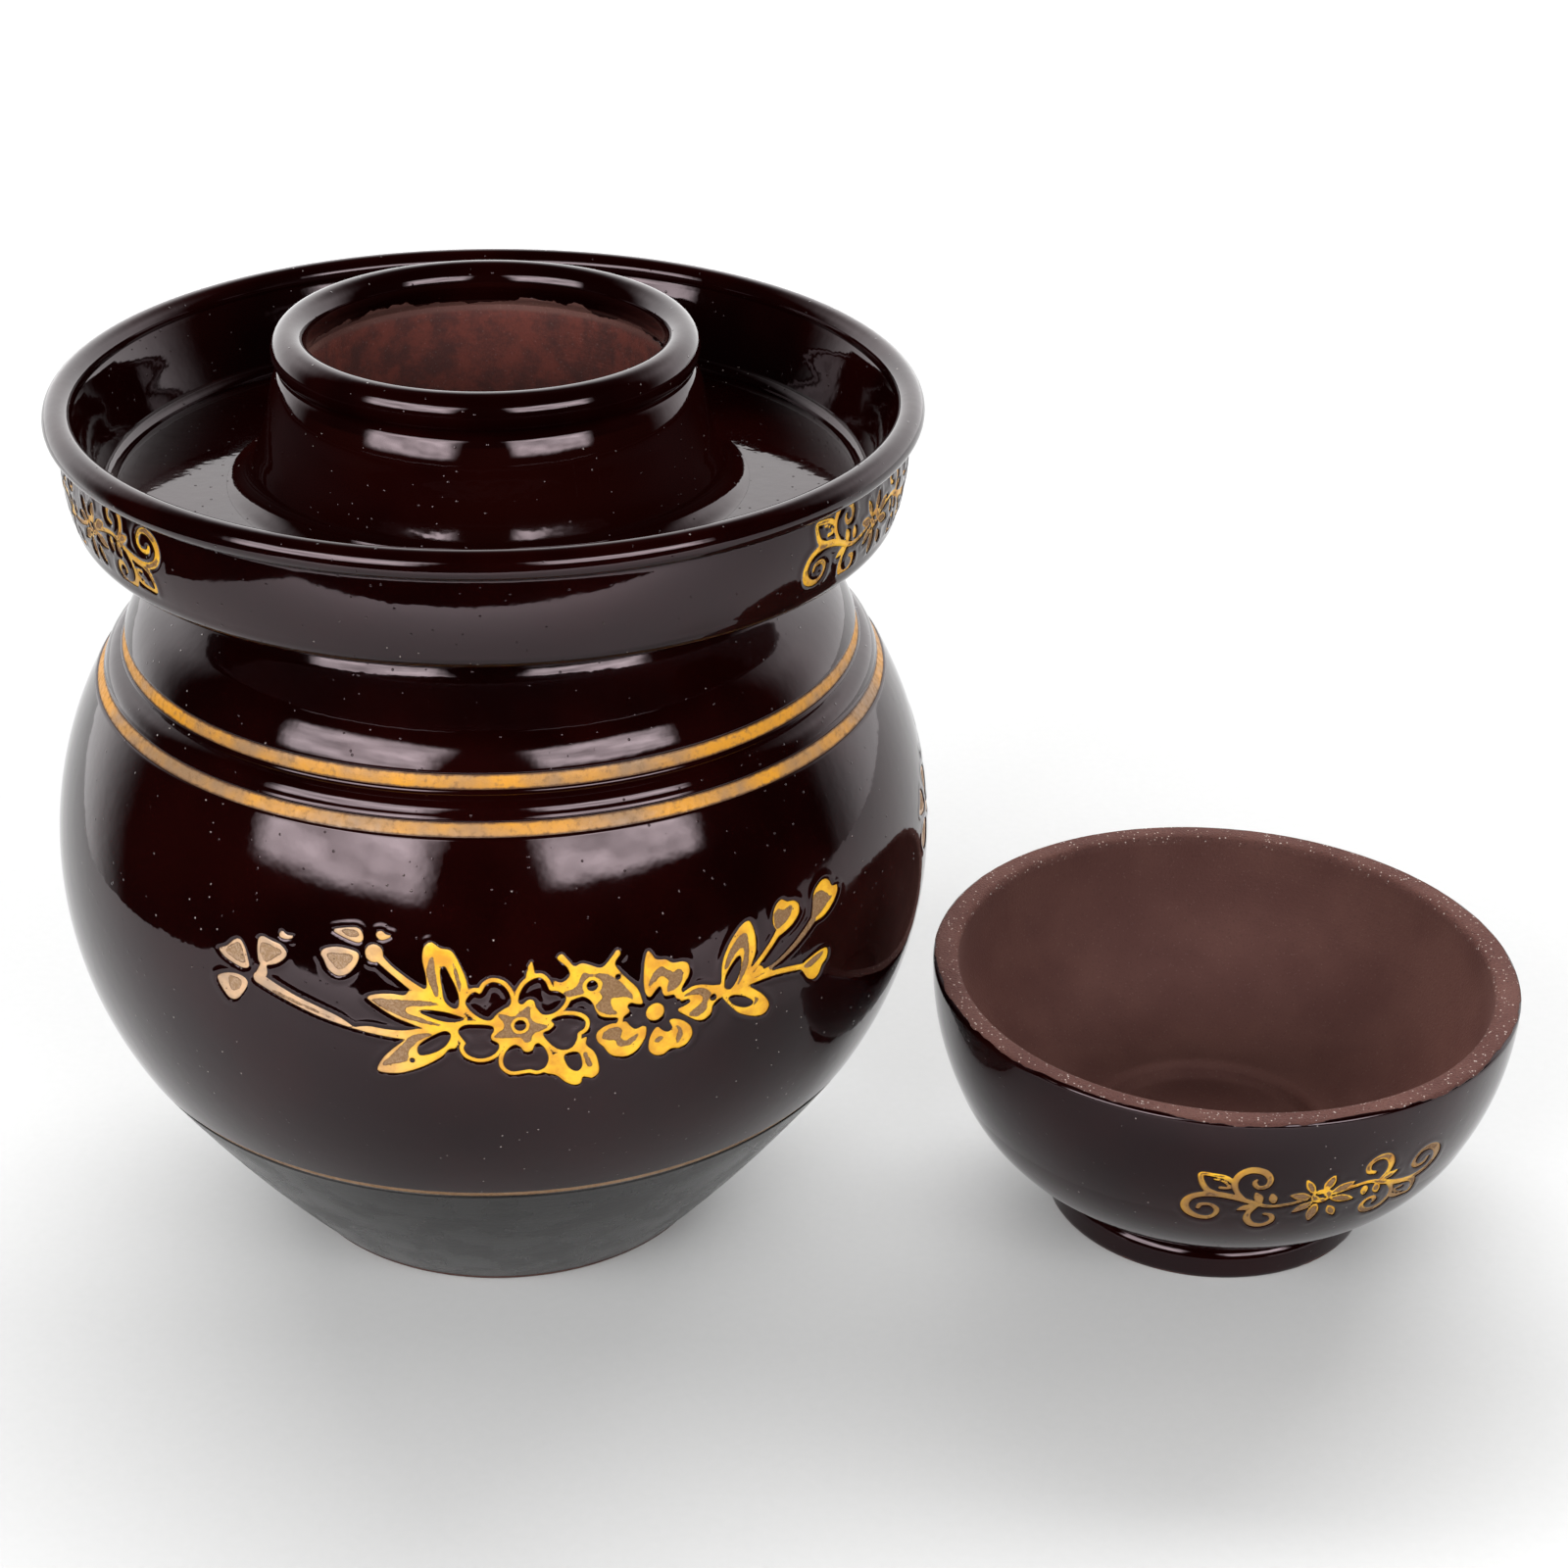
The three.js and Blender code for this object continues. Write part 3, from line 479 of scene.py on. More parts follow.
def spray_art(u, v):
    """The belly spray's pieces, where it is scraped, and how pale it is."""
    u = u + SPRAY_ORIGIN[0]
    v = v + SPRAY_ORIGIN[1]

    def blobs(outlines):
        return [blob(u, v, outline) for outline in outlines]

    def strokes(lines):
        return [stroke(u, v, line) for line in lines]

    def spots(places):
        return [spot(u, v, centre, radius) for centre, radius in places]

    cells = union(*blobs(LEFT_BLOSSOM_CELLS))
    solid = [cells - RIM_WIDTH]
    solid += blobs([LOWER_LOBE, HALF_BLOSSOM, HEART_BUD])
    solid += blobs(RIGHT_BLOSSOM + LEFT_LEAVES + RIGHT_LEAVES + BUDS)
    solid += strokes(BUD_STEMS + PALE_STEMS + [BRANCH_TIP, LEAF_JOINT])
    solid += spots([(LEFT_BLOSSOM_EYE, 6.2), (RIGHT_BLOSSOM_EYE, 2.2)] + BERRIES)
    holes = [cells] + blobs([LOWER_LOBE_CELL] + LEFT_LEAF_SLITS + RIGHT_LEAF_SLITS)
    holes += spots([(LEFT_BLOSSOM_EYE, 1.2), (HALF_BLOSSOM_EYE, 1.15)] + PINHOLES)
    main = np.maximum(union(*solid), -union(*holes))
    petals = [union(*blobs(group)) for group in PETALS]

    scrapes = [np.maximum(blob(u, v, LEFT_STAR), -spot(u, v, LEFT_BLOSSOM_EYE, 2.1))]
    scrapes += [np.maximum(blob(u, v, HALF_BLOSSOM_SCRAPE), -spot(u, v, HALF_BLOSSOM_EYE, 2.2))]
    scrapes += blobs(RIGHT_BLOSSOM_SCRAPES + LEFT_LEAF_SCRAPES + RIGHT_LEAF_SCRAPES)
    scrapes += blobs(BUD_SCRAPES + PALE_SCRAPES)
    scrapes += [stroke(u, v, BUD_STEMS[1][1:]) - 0.1, stroke(u, v, LOBE_SCRATCH)]
    pale = np.clip((SHADE_START - u) / (SHADE_START - SHADE_END), 0, 1)
    return np.stack([main] + petals), union(*scrapes), pale


# ---- the scroll frieze, drawn about its flower; each half is the other turned round ----
SCROLL_LINES = [
    [(-3.5, -0.5, 1.2), (-8.5, -2, 1.5), (-13.5, -2.5, 1.6), (-18.5, -0.6, 1.9), (-22.5, 1, 2.3),
     (-27, 1.8, 2.4), (-30.8, 1.2, 2.2), (-33.6, -0.6, 2.2), (-34.9, -3.6, 2.4), (-34, -6.6, 2.6),
     (-31.4, -8.4, 2.2), (-28.6, -8.4, 1.8), (-26.8, -6.6, 1.6), (-26.6, -4.2, 1.7),
     (-28.4, -2.6, 1.5), (-30.8, -3, 1.6), (-31.4, -4.6, 1.3)],
    [(-20, 0.2, 1.6), (-22.2, 3.5, 1.6), (-22.8, 7, 1.9), (-21.4, 9.9, 2.2), (-18.8, 11.2, 2.4),
     (-15.8, 10.4, 2.2), (-14.2, 8, 1.8), (-14.8, 5.6, 1.7), (-16.8, 5, 1.6), (-18, 6.6, 1.5),
     (-17.6, 7.8, 1)],
    [(-22.8, 6.4, 1.6), (-25.2, 8.2, 1.7), (-28.4, 8.8, 1.5), (-31.2, 8.8, 1.5), (-31, 6.2, 1.7),
     (-29.6, 3.4, 2), (-27, 2, 2)],
    [(-28, 7.4, 0.8), (-25.4, 6.6, 0.9), (-24, 4.6, 1), (-26.2, 4.4, 1.4)],
    [(-16.4, -2.2, 1.4), (-18.1, -5, 1.8), (-18.3, -8, 2.2), (-16.6, -10.6, 2.3), (-13.8, -11, 2),
     (-11.6, -9.2, 1.8), (-11.9, -6.7, 1.7), (-13.8, -5.8, 1.4)],
]
SCROLL_LEAFLETS = [
    ((-15.3, -1.2), (-17.4, 3.4), 2.5), ((-12, -1.6), (-13.2, 3), 2.4),
    ((-17, -1.8), (-21.6, -4.4), 2.4),
]
FLOWER_PETALS = [
    ((-1.8, 1.4), (-5, 7.4), 2.3), ((0.8, 2), (2.4, 8), 3.1), ((2.4, 0.8), (8.8, 4.2), 3.3),
    ((2.6, -0.8), (10.2, -3.2), 3.2), ((3, -4.2), (6.2, -9.6), 2.6),
    ((-0.8, -2.4), (-0.9, -10.6), 3.4), ((-1.6, -1.6), (-6.8, -5.8), 3),
    ((-2.4, 0.2), (-8.6, 1.8), 3),
]
FLOWER_CENTRE_RADIUS = 2.9
FLOWER_SLIT = [(-1.2, 1.0, 0.5), (1.4, -0.5, 0.5)]
SCROLL_EDGE_WIDTH = 0.62  # slip left along the edges where the frieze is scraped


def scroll_art(u, v):
    """The frieze's one piece, where it is scraped, and that no part of it is pale."""
    solid = [spot(u, v, (0.3, 0.3), FLOWER_CENTRE_RADIUS)]
    solid += [leaf(u, v, root, tip, width) for root, tip, width in FLOWER_PETALS]
    for side in (1, -1):
        a, b = side * u, side * v
        solid += [stroke(a, b, line) for line in SCROLL_LINES]
        solid += [leaf(a, b, root, tip, width) for root, tip, width in SCROLL_LEAFLETS]
    eye = np.minimum(spot(u, v, (0.2, 0.3), 0.7), stroke(u, v, FLOWER_SLIT))
    field = np.maximum(union(*solid), -eye)
    # The scrolls are scraped in patches that drift along them, and the petals all but their edges.
    drift = np.sin(0.42 * u + 1.1) + np.sin(0.55 * v - 0.31 * u) + 0.5 * np.sin(1.3 * v + 0.9 * u)
    patch = np.where(np.hypot(u, v) < 10, -0.2, 0.35 - 0.42 * drift)
    bright = np.minimum(spot(u, v, (0.4, 2.6), 1.5), spot(u, v, (-0.6, -2.4), 1.3))
    scrape = np.maximum(np.maximum(field + SCROLL_EDGE_WIDTH, patch), -bright)
    return field[None], scrape, np.zeros(u.shape)


# ---- glazed walls that carry ornaments ----
def lip_height(distance, swell):
    """How high the glaze stands at a distance outside an ornament: a swell, and a soft edge."""
    rise = swell * np.exp(-(((distance - 0.75) / 0.75) ** 2))
    edge = (0.05 + 0.35 * swell) * np.exp(-((distance / 0.22) ** 2))
    return rise - edge


def slip_height(depth):
    """The slip's level at a depth inside its edge: pooled at the edge, lower in the middle."""
    pool = 0.10 * np.exp(-(((depth - 0.5) / 0.45) ** 2))
    edge = 0.12 * np.exp(-((depth / 0.18) ** 2))
    return -SLIP_DEPTH + pool - edge


class Stamp:
    """One ornament on a wall: its pieces' names, how it is drawn, and where it sits.

    Azimuth is in degrees from the front, lift in mm up the wall, and reach is its box in its own
    mm: left, right, bottom and top."""

    def __init__(self, names, art, azimuth, radius, lift, scale, reach):
        self.names, self.art, self.azimuth = names, art, math.radians(azimuth)
        self.radius, self.lift, self.scale, self.reach = radius, lift, scale, reach

    def columns(self):
        return [self.azimuth + side * self.scale / self.radius for side in self.reach[:2]]

    def rows(self):
        return [self.lift + end * self.scale for end in self.reach[2:]]


def row_marks(length, stamps, coarse):
    """Lengths up a wall where its rows lie, close together where it carries ornaments."""
    low = max(min(s.rows()[0] for s in stamps), 0.0)
    high = min(max(s.rows()[1] for s in stamps), length)
    marks = []
    if low > 0:
        marks += list(np.linspace(0, low, max(int(low / coarse), 1) + 1)[:-1])
    marks += list(np.linspace(low, high, int((high - low) / FINE_STEP) + 1))
    if high < length:
        rest = max(int((length - high) / coarse), 1)
        marks += list(np.linspace(high, length, rest + 1)[1:])
    return np.array(marks)


def step_to_outline(art, u, v, distance, limit):
    """The step from each place to the outline beside it, no longer than the limit."""
    nudge = 0.02
    gu = (art(u + nudge, v)[0].min(0) - art(u - nudge, v)[0].min(0)) / (2 * nudge)
    gv = (art(u, v + nudge)[0].min(0) - art(u, v - nudge)[0].min(0)) / (2 * nudge)
    slope = np.maximum(np.hypot(gu, gv), 0.5)
    du, dv = -distance * gu / slope**2, -distance * gv / slope**2
    shrink = np.minimum(1, limit / np.maximum(np.hypot(du, dv), 1e-9))
    return du * shrink, dv * shrink


def draw(stamps, azimuth, length):
    """The fields of the ornaments over a grid of places on a wall, and the names of their pieces.

    Places beside an outline move on to it, so that it follows no grid steps."""
    edge, scrape = np.full(azimuth.shape, FAR), np.full(azimuth.shape, FAR)
    pale, label = np.zeros(azimuth.shape), np.full(azimuth.shape, -1)
    names = []
    for stamp in stamps:
        turn = (azimuth - stamp.azimuth + math.pi) % (2 * math.pi) - math.pi
        u, v = turn * stamp.radius / stamp.scale, (length - stamp.lift) / stamp.scale
        left, right, low, high = stamp.reach
        here = (u > left) & (u < right) & (v > low) & (v < high)
        u, v = u[here], v[here]
        fields, scraped, paleness = stamp.art(u, v)
        nearest = fields.min(0)
        close = np.abs(nearest) * stamp.scale < 0.56 * FINE_STEP
        limit = 0.6 * FINE_STEP / stamp.scale
        du, dv = step_to_outline(stamp.art, u[close], v[close], nearest[close], limit)
        row, column = np.argwhere(here)[close].T
        azimuth[row, column] += du * stamp.scale / stamp.radius
        length[row, column] += dv * stamp.scale
        edge[here] = np.where(close, 0.0, nearest) * stamp.scale
        scrape[here] = scraped * stamp.scale
        pale[here] = paleness
        label[here] = fields.argmin(0) + len(names)
        names += stamp.names
    return edge, scrape, pale, label, names


def split_faces(edge):
    """The grid's faces outside the outlines and those inside, closed round the axis."""
    index = np.arange(edge.size).reshape(edge.shape)
    beside = np.roll(index, -1, axis=1)
    corners = [index[:-1].ravel(), beside[:-1].ravel(), beside[1:].ravel(), index[1:].ravel()]
    flat = edge.ravel()
    quads = np.stack(corners, 1)
    has_out, has_in = (flat[quads] > 0).any(1), (flat[quads] < 0).any(1)
    outside = quads[~has_in].tolist()
    inside = quads[has_in & ~has_out].tolist()
    # A face with both kinds of corner is split from one corner on the outline to the other.
    for quad in quads[has_in & has_out].tolist():
        zero = [k for k in range(4) if flat[quad[k]] == 0]
        first = zero[0] if zero else 0
        a, b, c, d = quad[first:] + quad[:first]
        for tri in ([a, b, c], [a, c, d]):
            (inside if sum(flat[t] for t in tri) < 0 else outside).append(tri)
    return outside, inside


def border(faces):
    """The directed edges that only one of the faces has."""
    edges = {(a, face[(k + 1) % len(face)]) for face in faces for k, a in enumerate(face)}
    return [(a, b) for a, b in edges if (b, a) not in edges]


def ornament(name, faces, top, bottom, fields):
    """A closed plate between two surfaces of the grid, over some of its faces."""
    used = sorted({a for face in faces for a in face})
    where = {a: n for n, a in enumerate(used)}
    count = len(used)
    plate = [[where[a] for a in face] for face in faces]
    plate += [[where[a] + count for a in face][::-1] for face in faces]
    plate += [[where[a] + count, where[b] + count, where[b], where[a]] for a, b in border(faces)]
    attributes = {key: np.tile(values.ravel()[used], 2) for key, values in fields.items()}
    points = np.concatenate([top[used], bottom[used]])
    return link_mesh(name, points, plate, attributes, ORNAMENT_CREASE)


def decorated(name, outer, rest, stamps, swell, centre_x=0.0, coarse=1.5, **masks):
    """A closed turned wall whose outer surface is cut for ornaments, and the pieces in the cuts.

    outer runs up the outside and rest closes the profile; a mask has one value per point of rest.
    Returns the wall and a dict of ornament pieces by name."""
    outer = np.asarray(outer, float)
    lengths = np.concatenate([[0], np.cumsum(np.hypot(*np.diff(outer, axis=0).T))])
    angles = columns([s.columns() for s in stamps], FINE_STEP / outer[:, 0].max())
    grid = np.meshgrid(angles, row_marks(lengths[-1], stamps, coarse))
    azimuth, length = grid[0].copy(), grid[1].copy()
    edge, scrape, pale, label, names = draw(stamps, azimuth, length)

    along = np.gradient(outer, axis=0)
    along /= np.hypot(along[:, 0], along[:, 1])[:, None]
    r, z, up_r, up_z = (np.interp(length, lengths, column) for column in (*outer.T, *along.T))

    def surface(height):
        radius, level = r + height * up_z, z - height * up_r
        x, y = centre_x + radius * np.sin(azimuth), -radius * np.cos(azimuth)
        return np.stack([x, y, level], -1).reshape(-1, 3)

    margin = np.minimum(1, np.minimum(length, lengths[-1] - length) / 0.8)
    top = surface(lip_height(np.maximum(edge, 0), swell) * np.clip(margin, 0, 1))
    pit = surface(np.full(edge.shape, -PIT_DEPTH))
    slip_top = surface(slip_height(np.maximum(-edge, 0)))
    slip_bottom = surface(np.full(edge.shape, SLIP_CLEARANCE - PIT_DEPTH))

    # The wall: full height outside the outlines, the bottom of the pit inside, steps between.
    outside, inside = split_faces(edge)
    used = sorted({a for face in inside for a in face})
    sunk = {a: edge.size + k for k, a in enumerate(used)}
    faces = outside + [[sunk[a] for a in face] for face in inside]
    faces += [[b, sunk[b], sunk[a], a] for a, b in border(inside)]
    vertices = [top, pit[used]]
    start = edge.size + len(used)
    counts = [start]
    width = len(angles)
    loop = [list(range(edge.size - width, edge.size))]
    for radius, level in rest:
        points, indices = ring(radius, level, angles, centre_x, start)
        vertices.append(points)
        counts.append(len(points))
        start += len(points)
        loop.append(indices)
    loop.append(list(range(width)))
    for low, high in zip(loop[:-1], loop[1:]):
        faces += bridge(low, high)
    attributes = {key: np.repeat([0.0] + list(values), counts) for key, values in masks.items()}
    wall = link_mesh(name, np.concatenate(vertices), faces, attributes)

    flat, owner = edge.ravel(), label.ravel()
    parts = [[] for _ in names]
    for face in inside:
        parts[owner[min(face, key=lambda a: flat[a])]].append(face)
    fields = {"depth": -edge, "scrape": scrape, "pale": pale}
    pieces = {}
    for piece, part in zip(names, parts):
        pieces[piece] = ornament(piece, part, slip_top, slip_bottom, fields)
    return wall, pieces


# ---- materials ----
class Graph:
    """Short ways to add nodes to a node tree and to wire them."""

    def __init__(self, owner):
        owner.use_nodes = True
        self.nodes, self.links = owner.node_tree.nodes, owner.node_tree.links
        self.coordinates = None

    def put(self, kind, inputs=(), **settings):
        node = self.nodes.new(kind)
        for key, value in settings.items():
            setattr(node, key, value)
        for key, value in dict(inputs).items():
            self.feed(node.inputs[key], value)
        return node

    def feed(self, socket, value):
        if isinstance(value, bpy.types.NodeSocket):
            self.links.new(value, socket)
        else:
            socket.default_value = value

    def noise(self, scale, detail=2.0, roughness=0.5, vector=None):
        inputs = {"Scale": scale, "Detail": detail, "Roughness": roughness}
        inputs["Vector"] = vector or self.coordinates
        return self.put("ShaderNodeTexNoise", inputs).outputs["Fac"]

    def stretched(self, x, y, z):
        inputs = {"Vector": self.coordinates, "Scale": (x, y, z)}
        return self.put("ShaderNodeMapping", inputs).outputs["Vector"]

    def cells(self, scale):
        """The distance from the middle of scattered cells, in cell widths."""
        inputs = {"Scale": scale, "Randomness": 1.0, "Vector": self.coordinates}
        return self.put("ShaderNodeTexVoronoi", inputs).outputs["Distance"]

    def math(self, operation, a, b=0.0):
        return self.put("ShaderNodeMath", {0: a, 1: b}, operation=operation).outputs[0]

    def times(self, a, b):
        return self.math("MULTIPLY", a, b)

    def plus(self, a, b):
        return self.math("ADD", a, b)

    def swing(self, value, amount, middle=0.5):
        """A noise turned into a push either way."""
        return self.times(self.math("SUBTRACT", value, middle), amount)

    def span(self, value, low, high, to_low=0.0, to_high=1.0, kind="SMOOTHSTEP"):
        inputs = {"Value": value, "From Min": low, "From Max": high}
        inputs |= {"To Min": to_low, "To Max": to_high}
        return self.put("ShaderNodeMapRange", inputs, interpolation_type=kind).outputs["Result"]

    def blend(self, factor, a, b):
        inputs = {"Factor": factor, 2: a, 3: b}
        return self.put("ShaderNodeMix", inputs, data_type="FLOAT").outputs[0]


class Shader(Graph):
    """A material with one Principled shader, patterned in the object's own coordinates.

    Scales are in features per metre and bump distances in metres."""

    def __init__(self, name):
        self.material = bpy.data.materials.new(name)
        super().__init__(self.material)
        self.bsdf = self.nodes["Principled BSDF"]
        self.coordinates = self.put("ShaderNodeTexCoord").outputs["Object"]

    def mix(self, factor, a, b):
        a, b = (c if isinstance(c, bpy.types.NodeSocket) else (*c, 1.0) for c in (a, b))
        inputs = {"Factor": factor, 6: a, 7: b}
        return self.put("ShaderNodeMix", inputs, data_type="RGBA").outputs[2]

    def attribute(self, name):
        settings = {"attribute_name": name, "attribute_type": "GEOMETRY"}
        return self.put("ShaderNodeAttribute", **settings).outputs["Fac"]

    def bump(self, height, distance, strength, normal=None):
        node = self.put("ShaderNodeBump", {"Strength": strength, "Distance": distance})
        self.feed(node.inputs["Height"], height)
        if normal is not None:
            self.feed(node.inputs["Normal"], normal)
        return node.outputs["Normal"]

    def finish(self, color, roughness, normal, ior=1.5, tint=(1.0, 1.0, 1.0)):
        inputs = {"Base Color": color, "Roughness": roughness, "Normal": normal, "IOR": ior}
        inputs["Specular Tint"] = (*tint, 1.0)
        for key, value in inputs.items():
            self.feed(self.bsdf.inputs[key], value)
        return self.material


GLAZE_IOR = 1.42
SATIN_IOR = 1.31
CLAY_ROUGHNESS = 0.82
GLAZE_DARK = (0.0027, 0.0002, 0.0002)
GLAZE_WARM = (0.0066, 0.0006, 0.0005)
GLAZE_THIN = (0.0065, 0.0007, 0.0005)
GLAZE_SPECK_AND_GLINT = (0.42, 0.37, 0.34)
GLAZE_SHEEN = (1.0, 0.80, 0.86)
CLAY_RED = (0.056, 0.0210, 0.0160)
CLAY_PALE = (0.076, 0.0320, 0.0245)
CLAY_DARK = (0.026, 0.0095, 0.0075)
CLAY_PAINTED_GLINT = (0.42, 0.36, 0.33)
CLAY_RUDDY = (0.082, 0.0185, 0.0118)
CLAY_BROWN = (0.034, 0.0105, 0.0078)
SATIN_DARK = (0.0045, 0.0040, 0.0039)
SATIN_PALE = (0.0130, 0.0115, 0.0110)
GOLD = (0.69, 0.380, 0.014)
GOLD_DEEP = (0.48, 0.205, 0.008)
TAN = (0.150, 0.078, 0.030)
TAN_GREY = (0.210, 0.122, 0.060)
# Brown for slip lines and pits, and painted shade along rims and groove edges.
BROWN_EDGE_AND_SHADE = (0.060, 0.022, 0.007)
BUFF = (0.52, 0.325, 0.185)
BUFF_GREY = (0.30, 0.205, 0.137)
PAPER_DARK = (0.43, 0.43, 0.43)
PAPER_PALE = (0.45, 0.45, 0.45)


def glaze_material():
    """Very dark maroon glaze: glossy, faintly rippled, with pinholes; pale specks are dust and
    painted highlights.

    Where the mask "ruddy" is 1 it is thin and the clay redder. Where "bare" is 1 there is no glaze,
    only sandy clay, which is grittier where "rough" is 1."""
    s = Shader("dark_glaze")
    mask, rough, ruddy = s.attribute("bare"), s.attribute("rough"), s.attribute("ruddy")
    color = s.mix(s.span(s.noise(28, 3), 0.35, 0.7), GLAZE_DARK, GLAZE_WARM)
    color = s.mix(s.times(ruddy, s.span(s.noise(34), 0.3, 0.7)), color, GLAZE_THIN)
    # Pale specks: partly dust, partly painted highlights that stand for light caught in the
    # pinholes.
    pinhole = s.cells(330)
    speck_and_glint = s.times(s.span(pinhole, 0.07, 0.035), s.span(s.noise(24), 0.50, 0.60))
    color = s.mix(s.times(speck_and_glint, 0.6), color, GLAZE_SPECK_AND_GLINT)

    # The edge of the glaze is ragged where the mask is between its ends.
    doubt = s.times(s.times(mask, s.math("SUBTRACT", 1.0, mask)), 4.0)
    waver = s.plus(s.times(s.noise(170, 3, 0.6), 0.6), s.times(s.noise(42), 1.3))
    bare = s.span(s.plus(mask, s.swing(waver, doubt, 0.95)), 0.47, 0.53)

    sand = s.noise(1500, 3, 0.6)
    clay = s.mix(s.span(s.noise(45, 4), 0.3, 0.7), CLAY_RED, CLAY_PALE)
    blotches = s.mix(s.span(s.noise(150, 5, 0.75), 0.35, 0.65), CLAY_RUDDY, CLAY_BROWN)
    clay = s.mix(ruddy, clay, blotches)
    dark_grain = s.times(s.span(sand, 0.54, 0.74), s.blend(rough, 0.35, 0.9))
    clay = s.mix(dark_grain, clay, CLAY_DARK)
    # Painted glints: pale spots on sand grains that stand for highlights, most where rough is 1.
    painted_glint = s.times(s.span(s.cells(1100), 0.30, 0.16), s.span(s.noise(700), 0.50, 0.58))
    clay = s.mix(s.times(painted_glint, s.blend(rough, 0.05, 0.85)), clay, CLAY_PAINTED_GLINT)

    gloss = s.span(s.noise(60, 3), 0.3, 0.75, 0.03, 0.075)
    normal = s.bump(s.noise(210), 0.00012, 0.3)
    normal = s.bump(s.span(pinhole, 0.11, 0.03), 0.00012, 0.6, normal)
    turning_marks = s.noise(30, 3, 0.55, s.stretched(1.0, 1.0, 26.0))
    normal = s.bump(s.times(bare, turning_marks), 0.0004, 0.35, normal)
    grit = s.times(bare, s.times(sand, s.blend(rough, 0.35, 1.0)))
    normal = s.bump(grit, 0.0005, 0.9, normal)
    roughness = s.blend(bare, gloss, CLAY_ROUGHNESS)
    return s.finish(s.mix(bare, color, clay), roughness, normal, GLAZE_IOR, GLAZE_SHEEN)


def satin_material():
    """The foot cone's thin glaze: satin, a little grey, with turning marks, bare at the bottom."""
    s = Shader("satin_foot")
    marks = s.noise(45, 4, 0.6, s.stretched(1.0, 1.0, 14.0))
    color = s.mix(s.span(marks, 0.3, 0.75), SATIN_DARK, SATIN_PALE)
    color = s.mix(s.times(s.span(s.cells(420), 0.12, 0.06), 0.35), color, CLAY_PALE)
    ragged = s.plus(s.attribute("bare"), s.swing(s.noise(260, 3), 0.5))
    bare = s.span(ragged, 0.45, 0.55)
    color = s.mix(bare, color, CLAY_PALE)
    roughness = s.blend(bare, s.span(s.noise(90, 3), 0.3, 0.7, 0.22, 0.32), 0.8)
    normal = s.bump(marks, 0.0001, 0.3)
    normal = s.bump(s.noise(900), 0.00006, 0.5, normal)
    return s.finish(color, roughness, normal, SATIN_IOR)


def slip_material(name, buff_amount, worn):
    """Ochre slip, pooled smooth along its outlines and scraped to rough tan clay in between.

    Where the mask "pale" says so it turns buff, and worn is how much of it has turned tan."""
    s = Shader(name)
    depth, scrape, pale = s.attribute("depth"), s.attribute("scrape"), s.attribute("pale")
    pale = s.times(pale, buff_amount)
    wander = s.swing(s.noise(900, 3, 0.6), 0.55)
    scraped = s.plus(scrape, wander)
    cloud = s.noise(190, 4, 0.6)
    slip = s.mix(s.span(cloud, 0.35, 0.7), GOLD, GOLD_DEEP)
    slip = s.mix(s.times(s.span(s.noise(52), 0.42, 0.56), worn), slip, TAN)
    slip = s.mix(pale, slip, s.mix(s.span(cloud, 0.3, 0.7), BUFF, BUFF_GREY))
    grit = s.noise(1900, 3, 0.65)
    grain = s.span(grit, 0.40, 0.66)
    clay = s.mix(pale, s.mix(grain, TAN, TAN_GREY), s.mix(grain, TAN_GREY, BUFF_GREY))
    inside = s.span(scraped, 0.10, -0.10)
    color = s.mix(inside, slip, clay)

    # Brown lies in the line round each scrape and in pits; the brown rim against the glaze is
    # painted shade.
    line = s.math("SUBTRACT", 1.0, s.span(s.math("ABSOLUTE", scraped), 0.05, 0.20))
    line = s.times(line, s.span(s.noise(420, 3), 0.35, 0.6, 0.1, 0.75))
    # Painted shade: a thin brown rim where the slip meets the glaze's raised edge.
    rim = s.span(s.plus(depth, s.times(wander, 0.3)), 0.22, 0.02)
    pits = s.times(s.span(s.cells(700), 0.22, 0.08), s.span(s.noise(260), 0.52, 0.62))
    for amount in (line, s.times(rim, 0.85), s.times(pits, 0.8)):
        color = s.mix(amount, color, BROWN_EDGE_AND_SHADE)

    roughness = s.blend(inside, s.span(cloud, 0.3, 0.7, 0.32, 0.46), 0.78)
    normal = s.bump(s.times(inside, grit), 0.0005, 0.7)
    normal = s.bump(s.span(scraped, 0.15, -0.15, 1.0, 0.0), 0.00018, 0.8, normal)
    normal = s.bump(s.times(pits, -1.0), 0.00015, 0.6, normal)
    return s.finish(color, roughness, normal, GLAZE_IOR)


def band_material(name, fresh, faded):
    """Slip in a turned groove, streaked along its length; its brown edges are partly painted shade
    from the groove's walls.
    """
    s = Shader(name)
    fine = s.noise(700, 4, 0.65)
    color = s.mix(s.span(s.noise(38, 4, 0.6), 0.36, 0.62), fresh, faded)
    color = s.mix(s.span(fine, 0.50, 0.72, 0.0, 0.65), color, TAN)
    # Brown along both edges: partly the slip's own colour, partly painted shade where the groove's
    # walls meet it.
    edge = s.span(s.plus(s.attribute("across"), s.swing(fine, 0.5)), 0.62, 0.95)
    color = s.mix(s.times(edge, 0.9), color, BROWN_EDGE_AND_SHADE)
    roughness = s.span(fine, 0.3, 0.7, 0.35, 0.62)
    return s.finish(color, roughness, s.bump(fine, 0.0003, 0.6), GLAZE_IOR)


# ---- the jar ----
FOOT_RADIUS = 52.4
SPRAY_AZIMUTHS = {"front": 9.6, "back": 119.6}
SPRAY_WALL_RADIUS = 103.7
SPRAY_LIFT = 52.5
MOAT_FRIEZE_AZIMUTHS = {"left": -55.5, "right": 68, "back": 187}
LID_FRIEZE_AZIMUTHS = {"front": 16, "back": 196}
BARE_BELOW, GLAZED_ABOVE = 212.0, 220.5  # heights in the throat between which the glaze stops


